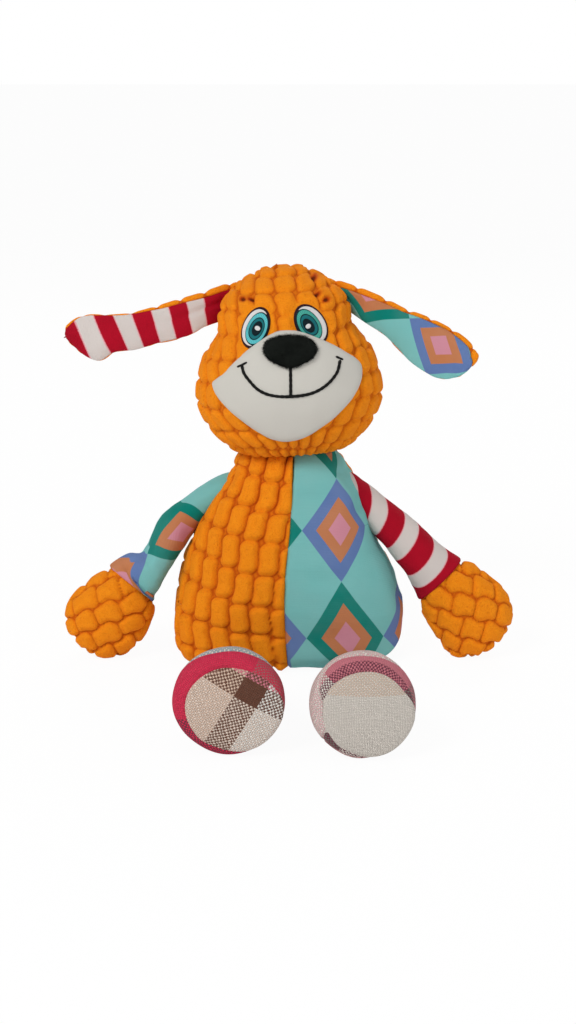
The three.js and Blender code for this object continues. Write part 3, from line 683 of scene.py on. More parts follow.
def dress(made, material, slot, *nodes, fill=None):
    """Gives a piece its finish and hides the CAD nodes that it stands for. The slot is not used."""
    made.data.materials.append(material)
    if nodes:
        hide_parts(*nodes)
    return made


print("helpers to build a piece and to dress it")


# %% [markdown]
# The orange pile is embossed with bubbles like kernels of corn: long rounded rectangles in
# columns, each column a little higher than the last. A bubble's height is worked out from how far
# a point is inside a rounded rectangle, so it is full in the middle and round at its edge, and
# where four corners meet the flat cloth shows.

# %% Bubbles
BUBBLE_DEPTH = 3.5
BUBBLE_SINK = 2.1
BUBBLE_EDGE = 3.6
BUBBLE_CORNER = 4.6
BUBBLE_FULLNESS = 0.85
# How far into a bubble the painted shade of the grooves reaches, and over what distance and by how much it is
# weaker on the flats where four corners meet
GROOVE_SHADE_REACH = 0.8
FLAT_REACH = 1.0
FLAT_SHADE_DROP = 0.45
# How much bubbles differ by chance in size and in height, as shares
SIZE_CHANCE = 0.012
HEIGHT_CHANCE = 0.1
# How far columns and rows sway, as shares of a bubble, and how often in a row
COLUMN_SWAY = 0.05
COLUMN_SWAY_PACE = 2.3
ROW_SWAY_PACE = 1.9
ROW_SWAY_SPREAD = 9
CHANCES = 101


def bubble_cell(column, row, chance, rise, jitter):
    """Which column a point lies in, how far up that column it is in bubbles, and which of the
    seeded chances its bubble takes."""
    line = np.floor(column)
    pick = line.astype(int) % CHANCES
    sway = np.sin(ROW_SWAY_PACE * row + ROW_SWAY_SPREAD * chance[1][pick])
    place = row - rise * line + jitter * chance[0][pick] + 0.5 * jitter * sway
    step = np.floor(place)
    return line, place, step, (line.astype(int) * 7 + step.astype(int) * 13) % CHANCES


def bubbles(column, row, width, length, seed, rise=0.12, end_gap=-0.5, jitter=0.06, wave=0.05,
            corner=BUBBLE_CORNER):
    """column and row say how many bubbles a point is from the first, and width and length are a
    bubble's size there. The distance inside a rounded rectangle is its corner radius less the
    distance to the rectangle that is a radius smaller. Returns the height over the cloth, and
    a painted shade for the grooves, full at a bubble's edge and weaker on the flats where four
    corners meet."""
    chance = np.random.default_rng(seed).uniform(-1, 1, (4, CHANCES))
    column = column + wave * np.sin(2 * np.pi * (row - rise * column))
    column = column + COLUMN_SWAY * np.sin(COLUMN_SWAY_PACE * row + seed)
    line, place, step, which = bubble_cell(column, row, chance, rise, jitter)
    half_width = width * (0.5 + SIZE_CHANCE * chance[1][which])
    half_length = length * (0.5 + SIZE_CHANCE * chance[0][which]) - end_gap
    side = np.abs(column - line - 0.5) * width - half_width + corner
    end = np.abs(place - step - 0.5) * length - half_length + corner
    beyond = np.hypot(np.clip(side, 0, None), np.clip(end, 0, None))
    outside = beyond + np.clip(np.maximum(side, end), None, 0)
    inside = np.clip(corner - outside, 0, None)
    full = np.sin(np.clip(inside / BUBBLE_EDGE, 0, 1) * np.pi / 2)
    height = BUBBLE_DEPTH * (1 + HEIGHT_CHANCE * chance[2][which]) * full**BUBBLE_FULLNESS
    flat = FLAT_SHADE_DROP * np.clip((outside - corner) / FLAT_REACH, 0, 1)
    return height - BUBBLE_SINK, np.clip(1 - inside / GROOVE_SHADE_REACH, 0, 1) - flat


print("bubbles", BUBBLE_DEPTH, "mm high")

# %% [markdown]
# Stuffing pushes the cloth out between its seams, and slack cloth then puckers beside them. A
# coarse copy of the grid is run as cloth for twenty frames, pinned at its seams, with pressure
# inside and no gravity. How far each of its points moved is capped and spread over the fine grid,
# and the simulated copy is thrown away, so bubbles and prints keep to the cloth.

# %% Stuffing by cloth simulation
SIM_FRAMES = 20
CLOTH = {
    "quality": 5,
    "mass": 0.15,
    "tension_stiffness": 20,
    "compression_stiffness": 20,
    "shear_stiffness": 8,
    "bending_stiffness": 0.3,
    "use_pressure": True,
    "uniform_pressure_force": 4.0,
}


def spread(values, rows, columns, size):
    """Coarse values spread over a fine grid, along its rows and then along its columns."""
    fine_rows, fine_columns = size
    down = [np.interp(np.arange(fine_rows), rows, values[:, k]) for k in range(values.shape[1])]
    return np.stack([np.interp(np.arange(fine_columns), columns, line) for line in np.stack(down, 1)])


def evened(values, wrap):
    """Half of each value plus a quarter of each neighbour's, first down and then across, so that
    no fold is finer than the coarse grid."""
    for axis in (0, 1):
        last = values.shape[axis] - 1
        around = wrap and axis == 1
        first_before, last_after = ([last], [0]) if around else ([0], [last])
        before = np.concatenate([values.take(first_before, axis), values.take(range(last), axis)], axis)
        after = np.concatenate([values.take(range(1, last + 1), axis), values.take(last_after, axis)], axis)
        values = (before + 2 * values + after) / 4
    return values


print("the cloth runs for", SIM_FRAMES, "frames")


# %% Running the cloth
def trial_mesh(coarse, wrap):
    """A mesh over the coarse grid whose faces look outwards, so that pressure pushes them out."""
    index = np.arange(coarse[..., 0].size).reshape(coarse.shape[:2])
    index = np.hstack([index, index[:, :1]]) if wrap else index
    quads = np.stack([index[:-1, :-1], index[:-1, 1:], index[1:, 1:], index[1:, :-1]], -1).reshape(-1, 4)
    flat = coarse.reshape(-1, 3)
    corners = flat[quads]
    normal = np.cross(corners[:, 2] - corners[:, 0], corners[:, 3] - corners[:, 1])
    if np.sum(normal * (corners.mean(1) - flat.mean(0))) < 0:
        quads = quads[:, ::-1]
    mesh = bpy.data.meshes.new("stuffing_trial")
    mesh.from_pydata((flat * MM).tolist(), [], quads.tolist())
    return mesh


def settled(mesh, held, slack):
    """Where the mesh's points are after the cloth has run, in millimetres."""
    trial = placed("stuffing_trial", mesh)
    seam = trial.vertex_groups.new(name="seam")
    seam.add(np.flatnonzero(held).tolist(), 1.0, "REPLACE")
    cloth = trial.modifiers.new("cloth", "CLOTH")
    for name, value in CLOTH.items():
        setattr(cloth.settings, name, value)
    cloth.settings.shrink_min = -slack
    cloth.settings.vertex_group_mass = seam.name
    cloth.settings.effector_weights.gravity = 0
    cloth.point_cache.frame_start = 1
    cloth.point_cache.frame_end = SIM_FRAMES
    for frame_number in range(1, SIM_FRAMES + 1):
        bpy.context.scene.frame_set(frame_number)
    result = trial.evaluated_get(bpy.context.evaluated_depsgraph_get()).data
    moved = np.empty(held.size * 3)
    result.vertices.foreach_get("co", moved)
    bpy.data.objects.remove(trial)
    bpy.data.meshes.remove(mesh)
    bpy.context.scene.frame_set(1)
    return moved.reshape(*held.shape, 3) / MM


def stuffed(points, every=4, slack=0.03, most=1.8, wrap=False):
    """The grid moved as its cloth would be by pressure. slack is how much too big the cloth is
    cut, and most is the farthest that a point may move."""
    size = points.shape[:2]
    rows = np.unique(np.append(np.arange(0, size[0], every), size[0] - 1))
    columns = np.arange(0, size[1], every)
    columns = columns if wrap else np.unique(np.append(columns, size[1] - 1))
    coarse = points[np.ix_(rows, columns)]
    held = np.zeros(coarse.shape[:2], bool)
    held[[0, -1]] = True
    if not wrap:
        held[:, [0, -1]] = True
    moved = settled(trial_mesh(coarse, wrap), held, slack) - coarse
    far = np.linalg.norm(moved, axis=-1, keepdims=True)
    moved *= np.minimum(1, most / np.maximum(far, 1e-6))
    moved = evened(evened(moved, wrap), wrap) * ~held[..., None]
    if wrap:
        moved, columns = np.concatenate([moved, moved[:, :1]], 1), np.append(columns, size[1])
    print("stuffed", coarse.shape[:2], "cloth moved up to", round(float(far.max()), 1), "mm")
    return points + np.stack([spread(moved[..., k], rows, columns, size) for k in range(3)], -1)


print("helpers to run a grid as cloth")


# %% [markdown]
# The torso is a pear of three panels: orange on the dog's right, printed knit on its left and
# orange behind. One function gives any point of the pear from how far round and how far up it
# is. Its sizes come from the frame, and the table says how it swells and narrows.

# %% Torso surface
left_low, left_high = (np.array(corner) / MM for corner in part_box("torso_left_panel"))
back_low, back_high = (np.array(corner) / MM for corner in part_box("torso_back_panel"))
NECK = pivots["head_nod"]
# How high the neck's hinge is, as a share of the torso's height
NECK_SHARE = 0.915
TORSO_HEIGHT = NECK[2] / NECK_SHARE
TORSO_HALF_WIDTH = left_high[0]
TORSO_FRONT = NECK[1] - left_low[1]
TORSO_BACK = back_high[1] - NECK[1]
TORSO_SQUARENESS = 2.25
SIDE_SEAMS = {"right": back_low[1], "left": 9.0}
# Height and how far the front seam has wandered to the side
SEAM_WANDER = [[0, 0.0], [21, -1.4], [43, -2.0], [61, -1.2], [80, 1.0], [97, 2.3], [125, 3.2]]
WANDER_REACH = 30.0
# Way up the panel, height, half width, front and back depth, as shares of the torso's sizes
TORSO_SHARES = [
    [0.0, 0.0, 0.02, 0.02, 0.02],
    [0.13, 0.0, 0.45, 0.42, 0.42],
    [0.22, 0.004, 0.8, 0.72, 0.72],
    [0.27, 0.024, 0.93, 0.86, 0.86],
    [0.32, 0.07, 0.99, 0.95, 0.94],
    [0.4, 0.18, 1.0, 0.985, 0.98],
    [0.5, 0.32, 0.97, 1.0, 1.0],
    [0.6, 0.46, 0.92, 0.96, 0.96],
    [0.7, 0.6, 0.835, 0.87, 0.88],
    [0.79, 0.72, 0.74, 0.775, 0.79],
    [0.865, 0.82, 0.615, 0.665, 0.71],
    [0.93, 0.915, 0.5, 0.6, 0.66],
    [0.975, 0.985, 0.44, 0.5, 0.56],
    [1.0, 1.05, 0.33, 0.33, 0.38],
]
# Height and how wide the dog's left side is there, as a share of its right side
LEFT_SIDE = [[0, 1.0], [19, 1.02], [31, 1.05], [47, 1.01], [64, 0.935], [75, 0.935], [88, 0.97],
             [97, 1.07], [106, 1.12], [118, 1.04]]
# How much squarer the dog's right side is at the floor, and how far up that fades
SEAT_SQUARER = 1.3
SEAT_SQUARER_REACH = 40.0


def torso_surface(turn, rise, inset=0.0):
    """A point of the pear: an oval whose half width and depths are read from the table at that
    rise, with the table's front depth before the middle and its back depth behind it."""
    height, width, front, back = smooth(TORSO_SHARES, rise)
    squarer = SEAT_SQUARER - height * TORSO_HEIGHT / SEAT_SQUARER_REACH
    squarer = np.clip(squarer, 0, 1) * (np.cos(turn) < 0)
    across, through = oval(turn, TORSO_SQUARENESS + squarer)
    depth = np.where(through < 0, front * TORSO_FRONT, back * TORSO_BACK) - inset
    half = np.maximum(width * TORSO_HALF_WIDTH - inset, 0.5)
    depth = np.maximum(depth, 0.5)
    x, y = across * half, NECK[1] + through * depth
    z = np.broadcast_to(np.clip(height * TORSO_HEIGHT, inset, None), x.shape)
    x = np.where(x > 0, x * np.interp(z, *np.transpose(LEFT_SIDE)), x)
    wander = np.interp(z, *np.transpose(SEAM_WANDER)) * np.exp(-((x / WANDER_REACH) ** 2))
    return np.stack([x + np.where(through < 0, wander * -through, 0), y, z], -1)


def side_turn(rise, side):
    """The turn, from straight out to the side, at which the torso's side seam runs: where the
    oval's depth reaches the seam. It is negative before the middle and positive behind it."""
    _, _, front, back = smooth(TORSO_SHARES, rise)
    away = SIDE_SEAMS[side] - NECK[1]
    depth = np.maximum(front * TORSO_FRONT if away < 0 else back * TORSO_BACK, 1e-6)
    return np.sign(away) * np.arcsin(np.clip(abs(away) / depth, 0, 0.98) ** (TORSO_SQUARENESS / 2))


print("torso", round(TORSO_HEIGHT), "high,", round(2 * TORSO_HALF_WIDTH), "wide")

# %% [markdown]
# The columns of bubbles follow the side of the body, so towards the neck they lean in and run
# off at the front seam. The sum for a column therefore adds to the distance from the seam a
# share of what the panel has lost in width by that height.

# %% Torso panels
COLUMN = 11.6
TORSO_ROW = 17.2
TORSO_FIRST_ROW = 24.3
COLUMN_LEAN = 0.35
FIRST_COLUMN = 0.336
SEAM_ROLL = 2.6
WALL = 1.1
SEAM_FULLNESS = 0.15
FRONT_SEAM = -np.pi / 2
TORSO_DENTS = 0.6


def panel_grid(surface, start, end, size, rows):
    """Turns from start to end at every rise: each row is divided evenly."""
    rise = np.linspace(0, 1, rows)[:, None]
    first, last = start(rise), end(rise)
    share = np.linspace(0, 1, size)[None, :]
    turn = first + (last - first) * share
    return surface(turn, np.broadcast_to(rise, turn.shape)), rise


def sewn(points, height, roll=SEAM_ROLL, ends=(True, True, True, True), wrap=False):
    """Moves a grid along its normals by a height, less the roll of the cloth at its seams. ends
    says whether the first and last column and the first and last row are seams, or how deep
    each one's roll is as a share of the full roll."""
    across, along = arc(points, 1), arc(points, 0)
    distances = [across, across[:, -1:] - across, along, along[-1:] - along]
    dip = sum(tuck(distance, roll * share) for distance, share in zip(distances, ends) if share)
    normal = facing(points, wrap)
    outer = points + normal * (height - dip)[..., None]
    return outer, outer - normal * WALL


def calm(points, first, last, ends=6.0):
    """How full bubbles are, from SEAM_FULLNESS at a seam to 1 at a distance: first and last are
    those distances at the first and last column, and ends at both ends of the rows."""
    across, along = arc(points, 1), arc(points, 0)
    nearest = np.minimum(across / first, (across[:, -1:] - across) / last)
    nearest = np.minimum(nearest, np.minimum(along, along[-1:] - along) / ends)
    return SEAM_FULLNESS + (1 - SEAM_FULLNESS) * np.clip(nearest, 0, 1)


def torso_rows(points):
    """The distance up the panel from the height where a row of bubbles begins."""
    along = arc(points, 0)
    base = np.interp(TORSO_FIRST_ROW, points[:, 0, 2], along[:, 0])
    return along[:, :1] - base + np.zeros_like(along)


def from_front(rise):
    """The front seam's turn at any rise."""
    return FRONT_SEAM + 0 * rise


def torso_pile(name, points, column, row, seed, full, ends, node):
    """An orange panel of the torso. Its bubbles are full at two distances from its side seams."""
    height, groove_shade = bubbles(column, row, COLUMN, TORSO_ROW, seed)
    height = height * calm(points, *full) + TORSO_DENTS * ripple(points, 40, seed + 1)
    outer, inner = sewn(stuffed(points, every=6, slack=0.02, most=1.5), height, ends=ends)
    made = piece(name, outer, inner, {"groove_shade": groove_shade})
    dress(made, orange, "orange_plush", node, fill=0.8)
    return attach(made, "torso")


# %% Torso right panel
# Up to this share of the panel the columns run straight
STRAIGHT_UP_TO = 0.4

points, rise = panel_grid(torso_surface, from_front, lambda r: -np.pi - side_turn(r, "right"), 130, 250)
across, along = arc(points, 1), torso_rows(points)
lost = across[:, -1:].max() - across[:, -1:]
lost = np.where(rise < STRAIGHT_UP_TO, 0, lost)
column = (across + COLUMN_LEAN * lost) / COLUMN + FIRST_COLUMN
torso_pile("torso_right_pile", points, column, along / TORSO_ROW + 0.2, 3, (1.5, 12.0),
           (0.5, 0.35, 1, 0.5), "torso_right_panel")

# %% Torso back panel
points, rise = panel_grid(
    torso_surface, lambda r: side_turn(r, "left"), lambda r: np.pi - side_turn(r, "right"), 230, 240
)
across, along = arc(points, 1), torso_rows(points)
column = (across - across[:, -1:] / 2) / COLUMN + 0.5
torso_pile("torso_back_pile", points, column, along / TORSO_ROW, 8, (14.0, 14.0),
           (0.6, 0.35, 1, 0.5), "torso_back_panel")

# %% [markdown]
# The knit panel is smooth, with soft hollows where the filling is uneven. The print's lattice is
# placed by the middle of its blue diamond, and leans with the cloth.

# %% Torso print panel
PRINT_CENTRE_ACROSS = 27.5
PRINT_CENTRE_HEIGHT = 81.5
PRINT_LEAN = 0.11
PRINT_WIDEN = 0.00125
PRINT_SAG = 2.6 / 50**2
# How far up the cloth a place is, and how far up the print is there: the stuffing stretches it
PRINT_STRETCH = [[-74, -74], [-60.6, -60], [-28.5, -30], [0, 0], [27.8, 30], [50, 54]]
# How much the print is shrunk across, and what is left of it past the middle diamond near the seat
PRINT_SHRINK = 1.045
PRINT_SIDE_ENDS = -30.0
PRINT_SIDE_REACH = 12.0
PRINT_SIDE_LEFT = 0.75
KNIT_DENTS = 0.4


def torso_print(points):
    """The cloth's coordinates: distances across and up from the middle of the blue diamond,
    leant, sagged and stretched by the values above."""
    across, along = arc(points, 1), arc(points, 0)
    base = np.interp(PRINT_CENTRE_HEIGHT, points[:, 0, 2], along[:, 0])
    up = along[:, :1] - base + PRINT_SAG * across**2
    right = (across - PRINT_CENTRE_ACROSS + PRINT_LEAN * up) * (PRINT_SHRINK + PRINT_WIDEN * up)
    up = np.interp(up, *np.transpose(PRINT_STRETCH))
    past = np.clip(right - PRINT_HALF_WIDTH, 0, None)
    kept = np.clip((PRINT_SIDE_ENDS - up) / PRINT_SIDE_REACH, 0, PRINT_SIDE_LEFT)
    right = np.minimum(right, PRINT_HALF_WIDTH) + past * kept
    return np.stack([right, up, 0 * up], -1)


points, rise = panel_grid(torso_surface, from_front, lambda r: side_turn(r, "left"), 110, 150)
cloth = torso_print(points)
dents = KNIT_DENTS * ripple(points, 55, 12)
outer, inner = sewn(stuffed(points, every=3, slack=0.03, most=2.2), dents, ends=(0.5, 0.8, 1, 0.5))
torso_left = piece("torso_left_knit", outer, inner, {"cloth": cloth})
dress(torso_left, print_knit, "printed_knit", "torso_left_panel", fill=0.8)
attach(torso_left, "torso")

# %% [markdown]
# The head is a rounded diamond, widest at the cheeks and rolled a little to one side. It is
# worked out upright about its own middle and then rolled and moved into place, so that the face
# can be laid out in plain distances across and up.

# %% Head surface
HEAD_HEIGHT = 112.0
HEAD_HALF_WIDTH = 50.0
HEAD_FRONT = 47.0
HEAD_BACK = 40.0
HEAD_SQUARENESS = 2.1
HEAD_ROLL = np.radians(3.8)
CHIN_ABOVE_NECK = 5.0
HEAD_CENTRE = NECK + np.array([0, 0, CHIN_ABOVE_NECK + HEAD_HEIGHT / 2])
# Way up the panel, height, half width, front and back depth, as shares of the head's sizes
HEAD_SHARES = [
    [0.0, 0.06, 0.45, 0.36, 0.55],
    [0.03, 0.062, 0.53, 0.46, 0.66],
    [0.08, 0.085, 0.62, 0.6, 0.75],
    [0.15, 0.135, 0.76, 0.76, 0.86],
    [0.21, 0.19, 0.88, 0.86, 0.92],
    [0.29, 0.28, 0.985, 0.945, 0.965],
    [0.37, 0.36, 1.02, 0.99, 0.99],
    [0.46, 0.46, 0.985, 0.995, 1.0],
    [0.55, 0.56, 0.91, 0.95, 0.985],
    [0.61, 0.625, 0.805, 0.9, 0.95],
    [0.69, 0.7, 0.73, 0.83, 0.9],
    [0.79, 0.8, 0.69, 0.725, 0.79],
    [0.88, 0.885, 0.525, 0.56, 0.61],
    [0.94, 0.938, 0.33, 0.37, 0.41],
    [0.98, 0.966, 0.16, 0.17, 0.2],
    [1.0, 0.973, 0.015, 0.02, 0.02],
]


def head_place(points):
    """Rolls points of the upright head about its middle and moves them to where the head is."""
    x, y, z = np.moveaxis(points, -1, 0)
    turned = np.stack([x * np.cos(HEAD_ROLL) - z * np.sin(HEAD_ROLL), y,
                       x * np.sin(HEAD_ROLL) + z * np.cos(HEAD_ROLL)], -1)
    return turned + HEAD_CENTRE


def head_surface(turn, rise):
    """A point of the upright head: an oval read from the table, as on the torso."""
    height, width, front_share, back_share = smooth(HEAD_SHARES, rise)
    across, through = oval(turn, HEAD_SQUARENESS)
    depth = np.where(through < 0, front_share * HEAD_FRONT, back_share * HEAD_BACK)
    x = across * width * HEAD_HALF_WIDTH
    z = np.broadcast_to((height - 0.5) * HEAD_HEIGHT, x.shape)
    return np.stack([x, through * depth, z], -1)


print("head", HEAD_HEIGHT, "high,", 2 * HEAD_HALF_WIDTH, "wide")

# %% [markdown]
# On the head the middle column of bubbles runs up the forehead. The columns keep their width to
# the cheeks, and below them they draw together towards the neck, where the cloth is gathered.

# %% Head panels
HEAD_COLUMN = 12.0
HEAD_ROW = 13.0
HEAD_FIRST_ROW = 32.0
HEAD_END_GAP = -0.6
HEAD_BUBBLE = 0.78
COLUMN_SHIFT = 1.75
EYE_CLEAR = 3.0
GATHERED_COLUMNS = 1.5
GATHER_REACH = 13.0
GATHER_TOP = -14.0
GATHER_HEIGHT = 34.0
GATHER_POWER = 1.2
NARROW_POWER = 0.75
SHIFT_REACH = 20.0
# How far under the chin the bubbles start, and how far up they are full
CHIN_START = 2.0
CHIN_REACH = 14.0
# How strong the painted shade in the head's grooves is
HEAD_GROOVE_SHADE = 0.8
HEAD_DENTS = 0.6
EYE_SINK = 0.4
# Places across and up the face of the darts that are pinched between the ears and the eyes
DARTS = [(-21.3, 39.0), (-17.2, 39.6), (18.0, 39.6), (22.4, 35.8), (36.4, 36.6), (16.9, 47.0)]
# How deep each dart is pinched, how far that reaches, and how strong the painted shadow in it is
DART_DEPTH = 1.8
DART_REACH = 1.3
DART_SHADOW_MARK = 2.0
# Middle, half sizes and lean of each eye, its iris's place from the middle and half sizes, the
# glint's place from the iris and the dye of the iris
EYES = {
    "right": {"place": (-15.4, 25.2), "half": (6.9, 11.3), "lean": -28.0, "iris": (1.0, -0.6),
              "iris_half": (5.4, 9.2), "glint": (0.6, 0.3), "dye": (100, 205, 212)},
    "left": {"place": (13.8, 25.0), "half": (7.6, 11.6), "lean": 31.0, "iris": (-1.3, -0.1),
             "iris_half": (5.6, 9.3), "glint": (-0.7, -0.6), "dye": (78, 178, 160)},
}


def pressed_flat(x, z):
    """1 where the embroidery of an eye presses the pile flat, falling to 0 round it."""
    flat = np.zeros(x.shape)
    for eye in EYES.values():
        lean = np.radians(eye["lean"])
        right, up = x - eye["place"][0], z - eye["place"][1]
        across = (right * np.cos(lean) + up * np.sin(lean)) / eye["half"][0]
        along = (up * np.cos(lean) - right * np.sin(lean)) / eye["half"][1]
        beyond = (np.hypot(across, along) - 1) * min(eye["half"])
        flat = np.maximum(flat, np.clip(1 - beyond / EYE_CLEAR, 0, 1))
    return flat**2 * (3 - 2 * flat)


def head_columns(points, shift):
    """How many columns a point is from the middle one, and how wide a column is there: the
    column's width shrinks with the head under the cheeks, and near the neck a tanh of the
    distance from the middle is added, whose slope narrows the columns further."""
    across = arc(points, 1)
    middle = across[:, -1:] / 2
    under = np.arange(len(points))[:, None] < np.argmax(middle[:, 0])
    gathered = np.where(under, (middle / middle.max()) ** NARROW_POWER, 1.0)
    low = np.clip((GATHER_TOP - points[..., 2]) / GATHER_HEIGHT, 0, 1)
    drawn = GATHERED_COLUMNS * low**GATHER_POWER
    from_middle = across - middle + shift * np.clip(points[..., 2] / SHIFT_REACH, 0, 1)
    column = from_middle / (HEAD_COLUMN * gathered) + drawn * np.tanh(from_middle / GATHER_REACH)
    closer = drawn / GATHER_REACH / np.cosh(from_middle / GATHER_REACH) ** 2
    return column + 0.5, 1 / (1 / (HEAD_COLUMN * gathered) + closer)


def face_marks(points, height, groove_shade):
    """The pile pressed flat under the eyes, where the grooves' painted shade is taken away, and
    pinched in by a bell of depth at each dart, where a painted shadow is added.
    """
    x, z = points[..., 0], points[..., 2]
    pressed = pressed_flat(x, z)
    height, groove_shade = height * (1 - pressed) - EYE_SINK * pressed, groove_shade * (1 - pressed)
    for across, up in DARTS:
        near = np.exp(-((x - across) ** 2 / 2 + (z - up) ** 2) / DART_REACH**2)
        height, groove_shade = height - DART_DEPTH * near, np.maximum(groove_shade, DART_SHADOW_MARK * near)
    return height, groove_shade


def head_panel(name, end, seed, node, size=230, rows=230):
    """One half of the head, from its left seam round to the end turn."""
    is_face = end < 0
    points, rise = panel_grid(head_surface, lambda r: 0 * r, lambda r: end + 0 * r, size, rows)
    along = arc(points, 0)
    column, width = head_columns(points, COLUMN_SHIFT if is_face else 0)
    base = np.interp(HEAD_FIRST_ROW, points[:, 0, 2], along[:, size // 2])
    row = (along[:, size // 2:size // 2 + 1] - base) / HEAD_ROW + np.zeros_like(along)
    height, groove_shade = bubbles(column, row, width, HEAD_ROW, seed, 0.0, HEAD_END_GAP, 0.1)
    gathers = np.clip((points[..., 2] + HEAD_HEIGHT / 2 + CHIN_START) / CHIN_REACH, 0, 1)
    height = height * HEAD_BUBBLE * calm(points, 4.0, 4.0, 12.0) * gathers
    groove_shade = groove_shade * HEAD_GROOVE_SHADE * gathers
    if is_face:
        height, groove_shade = face_marks(points, height, groove_shade)
    height = height + HEAD_DENTS * ripple(points, 45, seed + 1)
    outer, inner = sewn(stuffed(points, every=6, slack=0.02, most=1.2), height)
    made = piece(name, head_place(outer), head_place(inner), {"groove_shade": groove_shade})
    dress(made, orange, "orange_plush", node, fill=0.85)
    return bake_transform(made)


head_panel("face_pile", -np.pi, 21, "face_panel")
head_panel("head_back_pile", np.pi, 31, "head_back_panel")

# %% [markdown]
# The muzzle, nose, eyes and smile are laid on the face. Each is drawn flat, as a pattern cutter
# would, and pushed onto the head along its normals, so it wraps round the face and does not
# float. A patch runs in rings from its outline to its middle.

# %% Laying pieces on the face
def face_depth(x, z):
    """How far forward the head's front is at a place in the face: the oval of that height solved
    for its depth."""
    table = np.array(HEAD_SHARES)
    by_height = np.column_stack([(table[:, 1] - 0.5) * HEAD_HEIGHT, table[:, 2:4]])
    width, depth = smooth(by_height, z)
    share = np.clip(np.abs(x) / (width * HEAD_HALF_WIDTH), 0, 0.995)
    return -depth * HEAD_FRONT * (1 - share**HEAD_SQUARENESS) ** (1 / HEAD_SQUARENESS)


def on_face(x, z, lift):
    """Points in the face, lifted along the normal, which leans by the slope of the face's depth
    across and up."""
    step = 0.5
    y = face_depth(x, z)
    slope_x = (face_depth(x + step, z) - face_depth(x - step, z)) / (2 * step)
    slope_z = (face_depth(x, z + step) - face_depth(x, z - step)) / (2 * step)
    normal = np.stack([slope_x, -np.ones_like(y), slope_z], -1)
    normal /= np.linalg.norm(normal, axis=-1, keepdims=True)
    return head_place(np.stack([x, y, z], -1) + normal * np.asarray(lift)[..., None])


def outline(corners, sides):
    """A smooth closed line through points: each coordinate is read from a table by the distance
    run, with the ends of the table carried round."""
    closed = np.array([*corners, corners[0]], float)
    run = np.concatenate([[0], np.cumsum(np.linalg.norm(np.diff(closed, axis=0), axis=1))])
    before = np.column_stack([run[-3:-1] - run[-1], closed[-3:-1]])
    after = np.column_stack([run[1:3] + run[-1], closed[1:3]])
    table = np.vstack([before, np.column_stack([run, closed]), after])
    return np.stack(smooth(table, np.linspace(0, run[-1], sides, endpoint=False)), -1)


POLE_SHARE = 0.02
PATCH_DENTS = 14
PATCH_SINK = 0.6


def patch(name, line, low, thick, edge, marks=None, rings=24, dents=0.0, seed=0):
    """A patch on the face: rings run from the outline to the middle, and its top rises from low
    to low + thick over a quarter circle that is `edge` wide."""
    middle = line.mean(0)
    share = np.linspace(1, POLE_SHARE, rings)[:, None, None]
    flat = middle + (line - middle) * share
    inward = (1 - share[..., 0]) * np.linalg.norm(line - middle, axis=-1)
    round_edge = np.sqrt(1 - np.clip(1 - inward / edge, 0, 1) ** 2)
    x, z = flat[..., 0], flat[..., 1]
    top = low + thick * round_edge
    if dents:
        top = top + dents * ripple(np.stack([x, z, 0 * x], -1), PATCH_DENTS, seed)
    outer, inner = on_face(x, z, top), on_face(x, z, np.full(x.shape, low - PATCH_SINK))
    cloth = marks(x, z, share[..., 0] + 0 * x) if marks else np.stack([x, z, 0 * x], -1)
    return piece(name, outer, inner, {"cloth": cloth}, wrap=True, poles=(False, True))


print("the face's middle is", round(-float(face_depth(0.0, 0.0)), 1), "mm before the head's")

# %% Muzzle and nose
# Points of each outline across and up the face, from the head's middle
MUZZLE = [
    (-40.3, -3.9), (-37.8, -1.4), (-34.2, 1.6), (-27.8, 7.6), (-22, 12.6), (-15.5, 17.4), (-8.9, 21.4),
    (-3.6, 23.4), (1.7, 23.7), (7.4, 22.5), (13.3, 20.1), (18.8, 17.1), (24.3, 13.6), (30.4, 9),
    (36, 4.6), (38.6, 1), (38.8, -4.3), (37.2, -9.3), (34.2, -13.8), (28.8, -19.5), (22, -25.2),
    (15, -29.8), (8.7, -33), (2.1, -35.2), (-4.2, -35.6), (-10.2, -34), (-16.9, -30.3), (-23, -25.7),
    (-28.4, -20.9), (-33.8, -15.8), (-37.9, -11.2), (-39.9, -7.4),
]
NOSE = [
    (-11, 13.4), (-9.4, 17.4), (-4.2, 19.7), (2.8, 19.9), (9, 18.7), (13.2, 15.6), (14.8, 11.6),
    (13.1, 8.5), (8.6, 6.2), (4.6, 4.7), (1.1, 4.4), (-3.5, 6.0), (-7.9, 8.3), (-10.3, 10.8),
]
MUZZLE_LOW = 0.9
MUZZLE_THICK = 2.4
MUZZLE_EDGE = 4.0
NOSE_LOW = MUZZLE_LOW + MUZZLE_THICK
NOSE_THICK = 4.0
NOSE_EDGE = 6.0

muzzle_line = outline(MUZZLE, 220)
muzzle = patch("muzzle_pile", muzzle_line, MUZZLE_LOW, MUZZLE_THICK, MUZZLE_EDGE,
               rings=60, dents=0.35, seed=41)
dress(muzzle, white, "white_plush", "muzzle_panel", fill=0.5)
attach(muzzle, "head")

nose_line = outline(NOSE, 120)
nose = patch("nose_pile", nose_line, NOSE_LOW, NOSE_THICK, NOSE_EDGE, rings=40, dents=0.3, seed=42)
dress(nose, black, "black_plush", "nose_patch", fill=0.7)
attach(nose, "head")

# %% [markdown]
# The nose is longer pile, and its hairs break up its edge. Each hair is a thin three-sided
# spike. All of them are made at once: their roots are seeded places on the nose, and each tip is
# its root moved out along the normal and a little sideways.

# %% Nose hairs
HAIRS = 5200
HAIR_LENGTH = 1.15
HAIR_WIDTH = 0.11
HAIR_SINK = 0.3
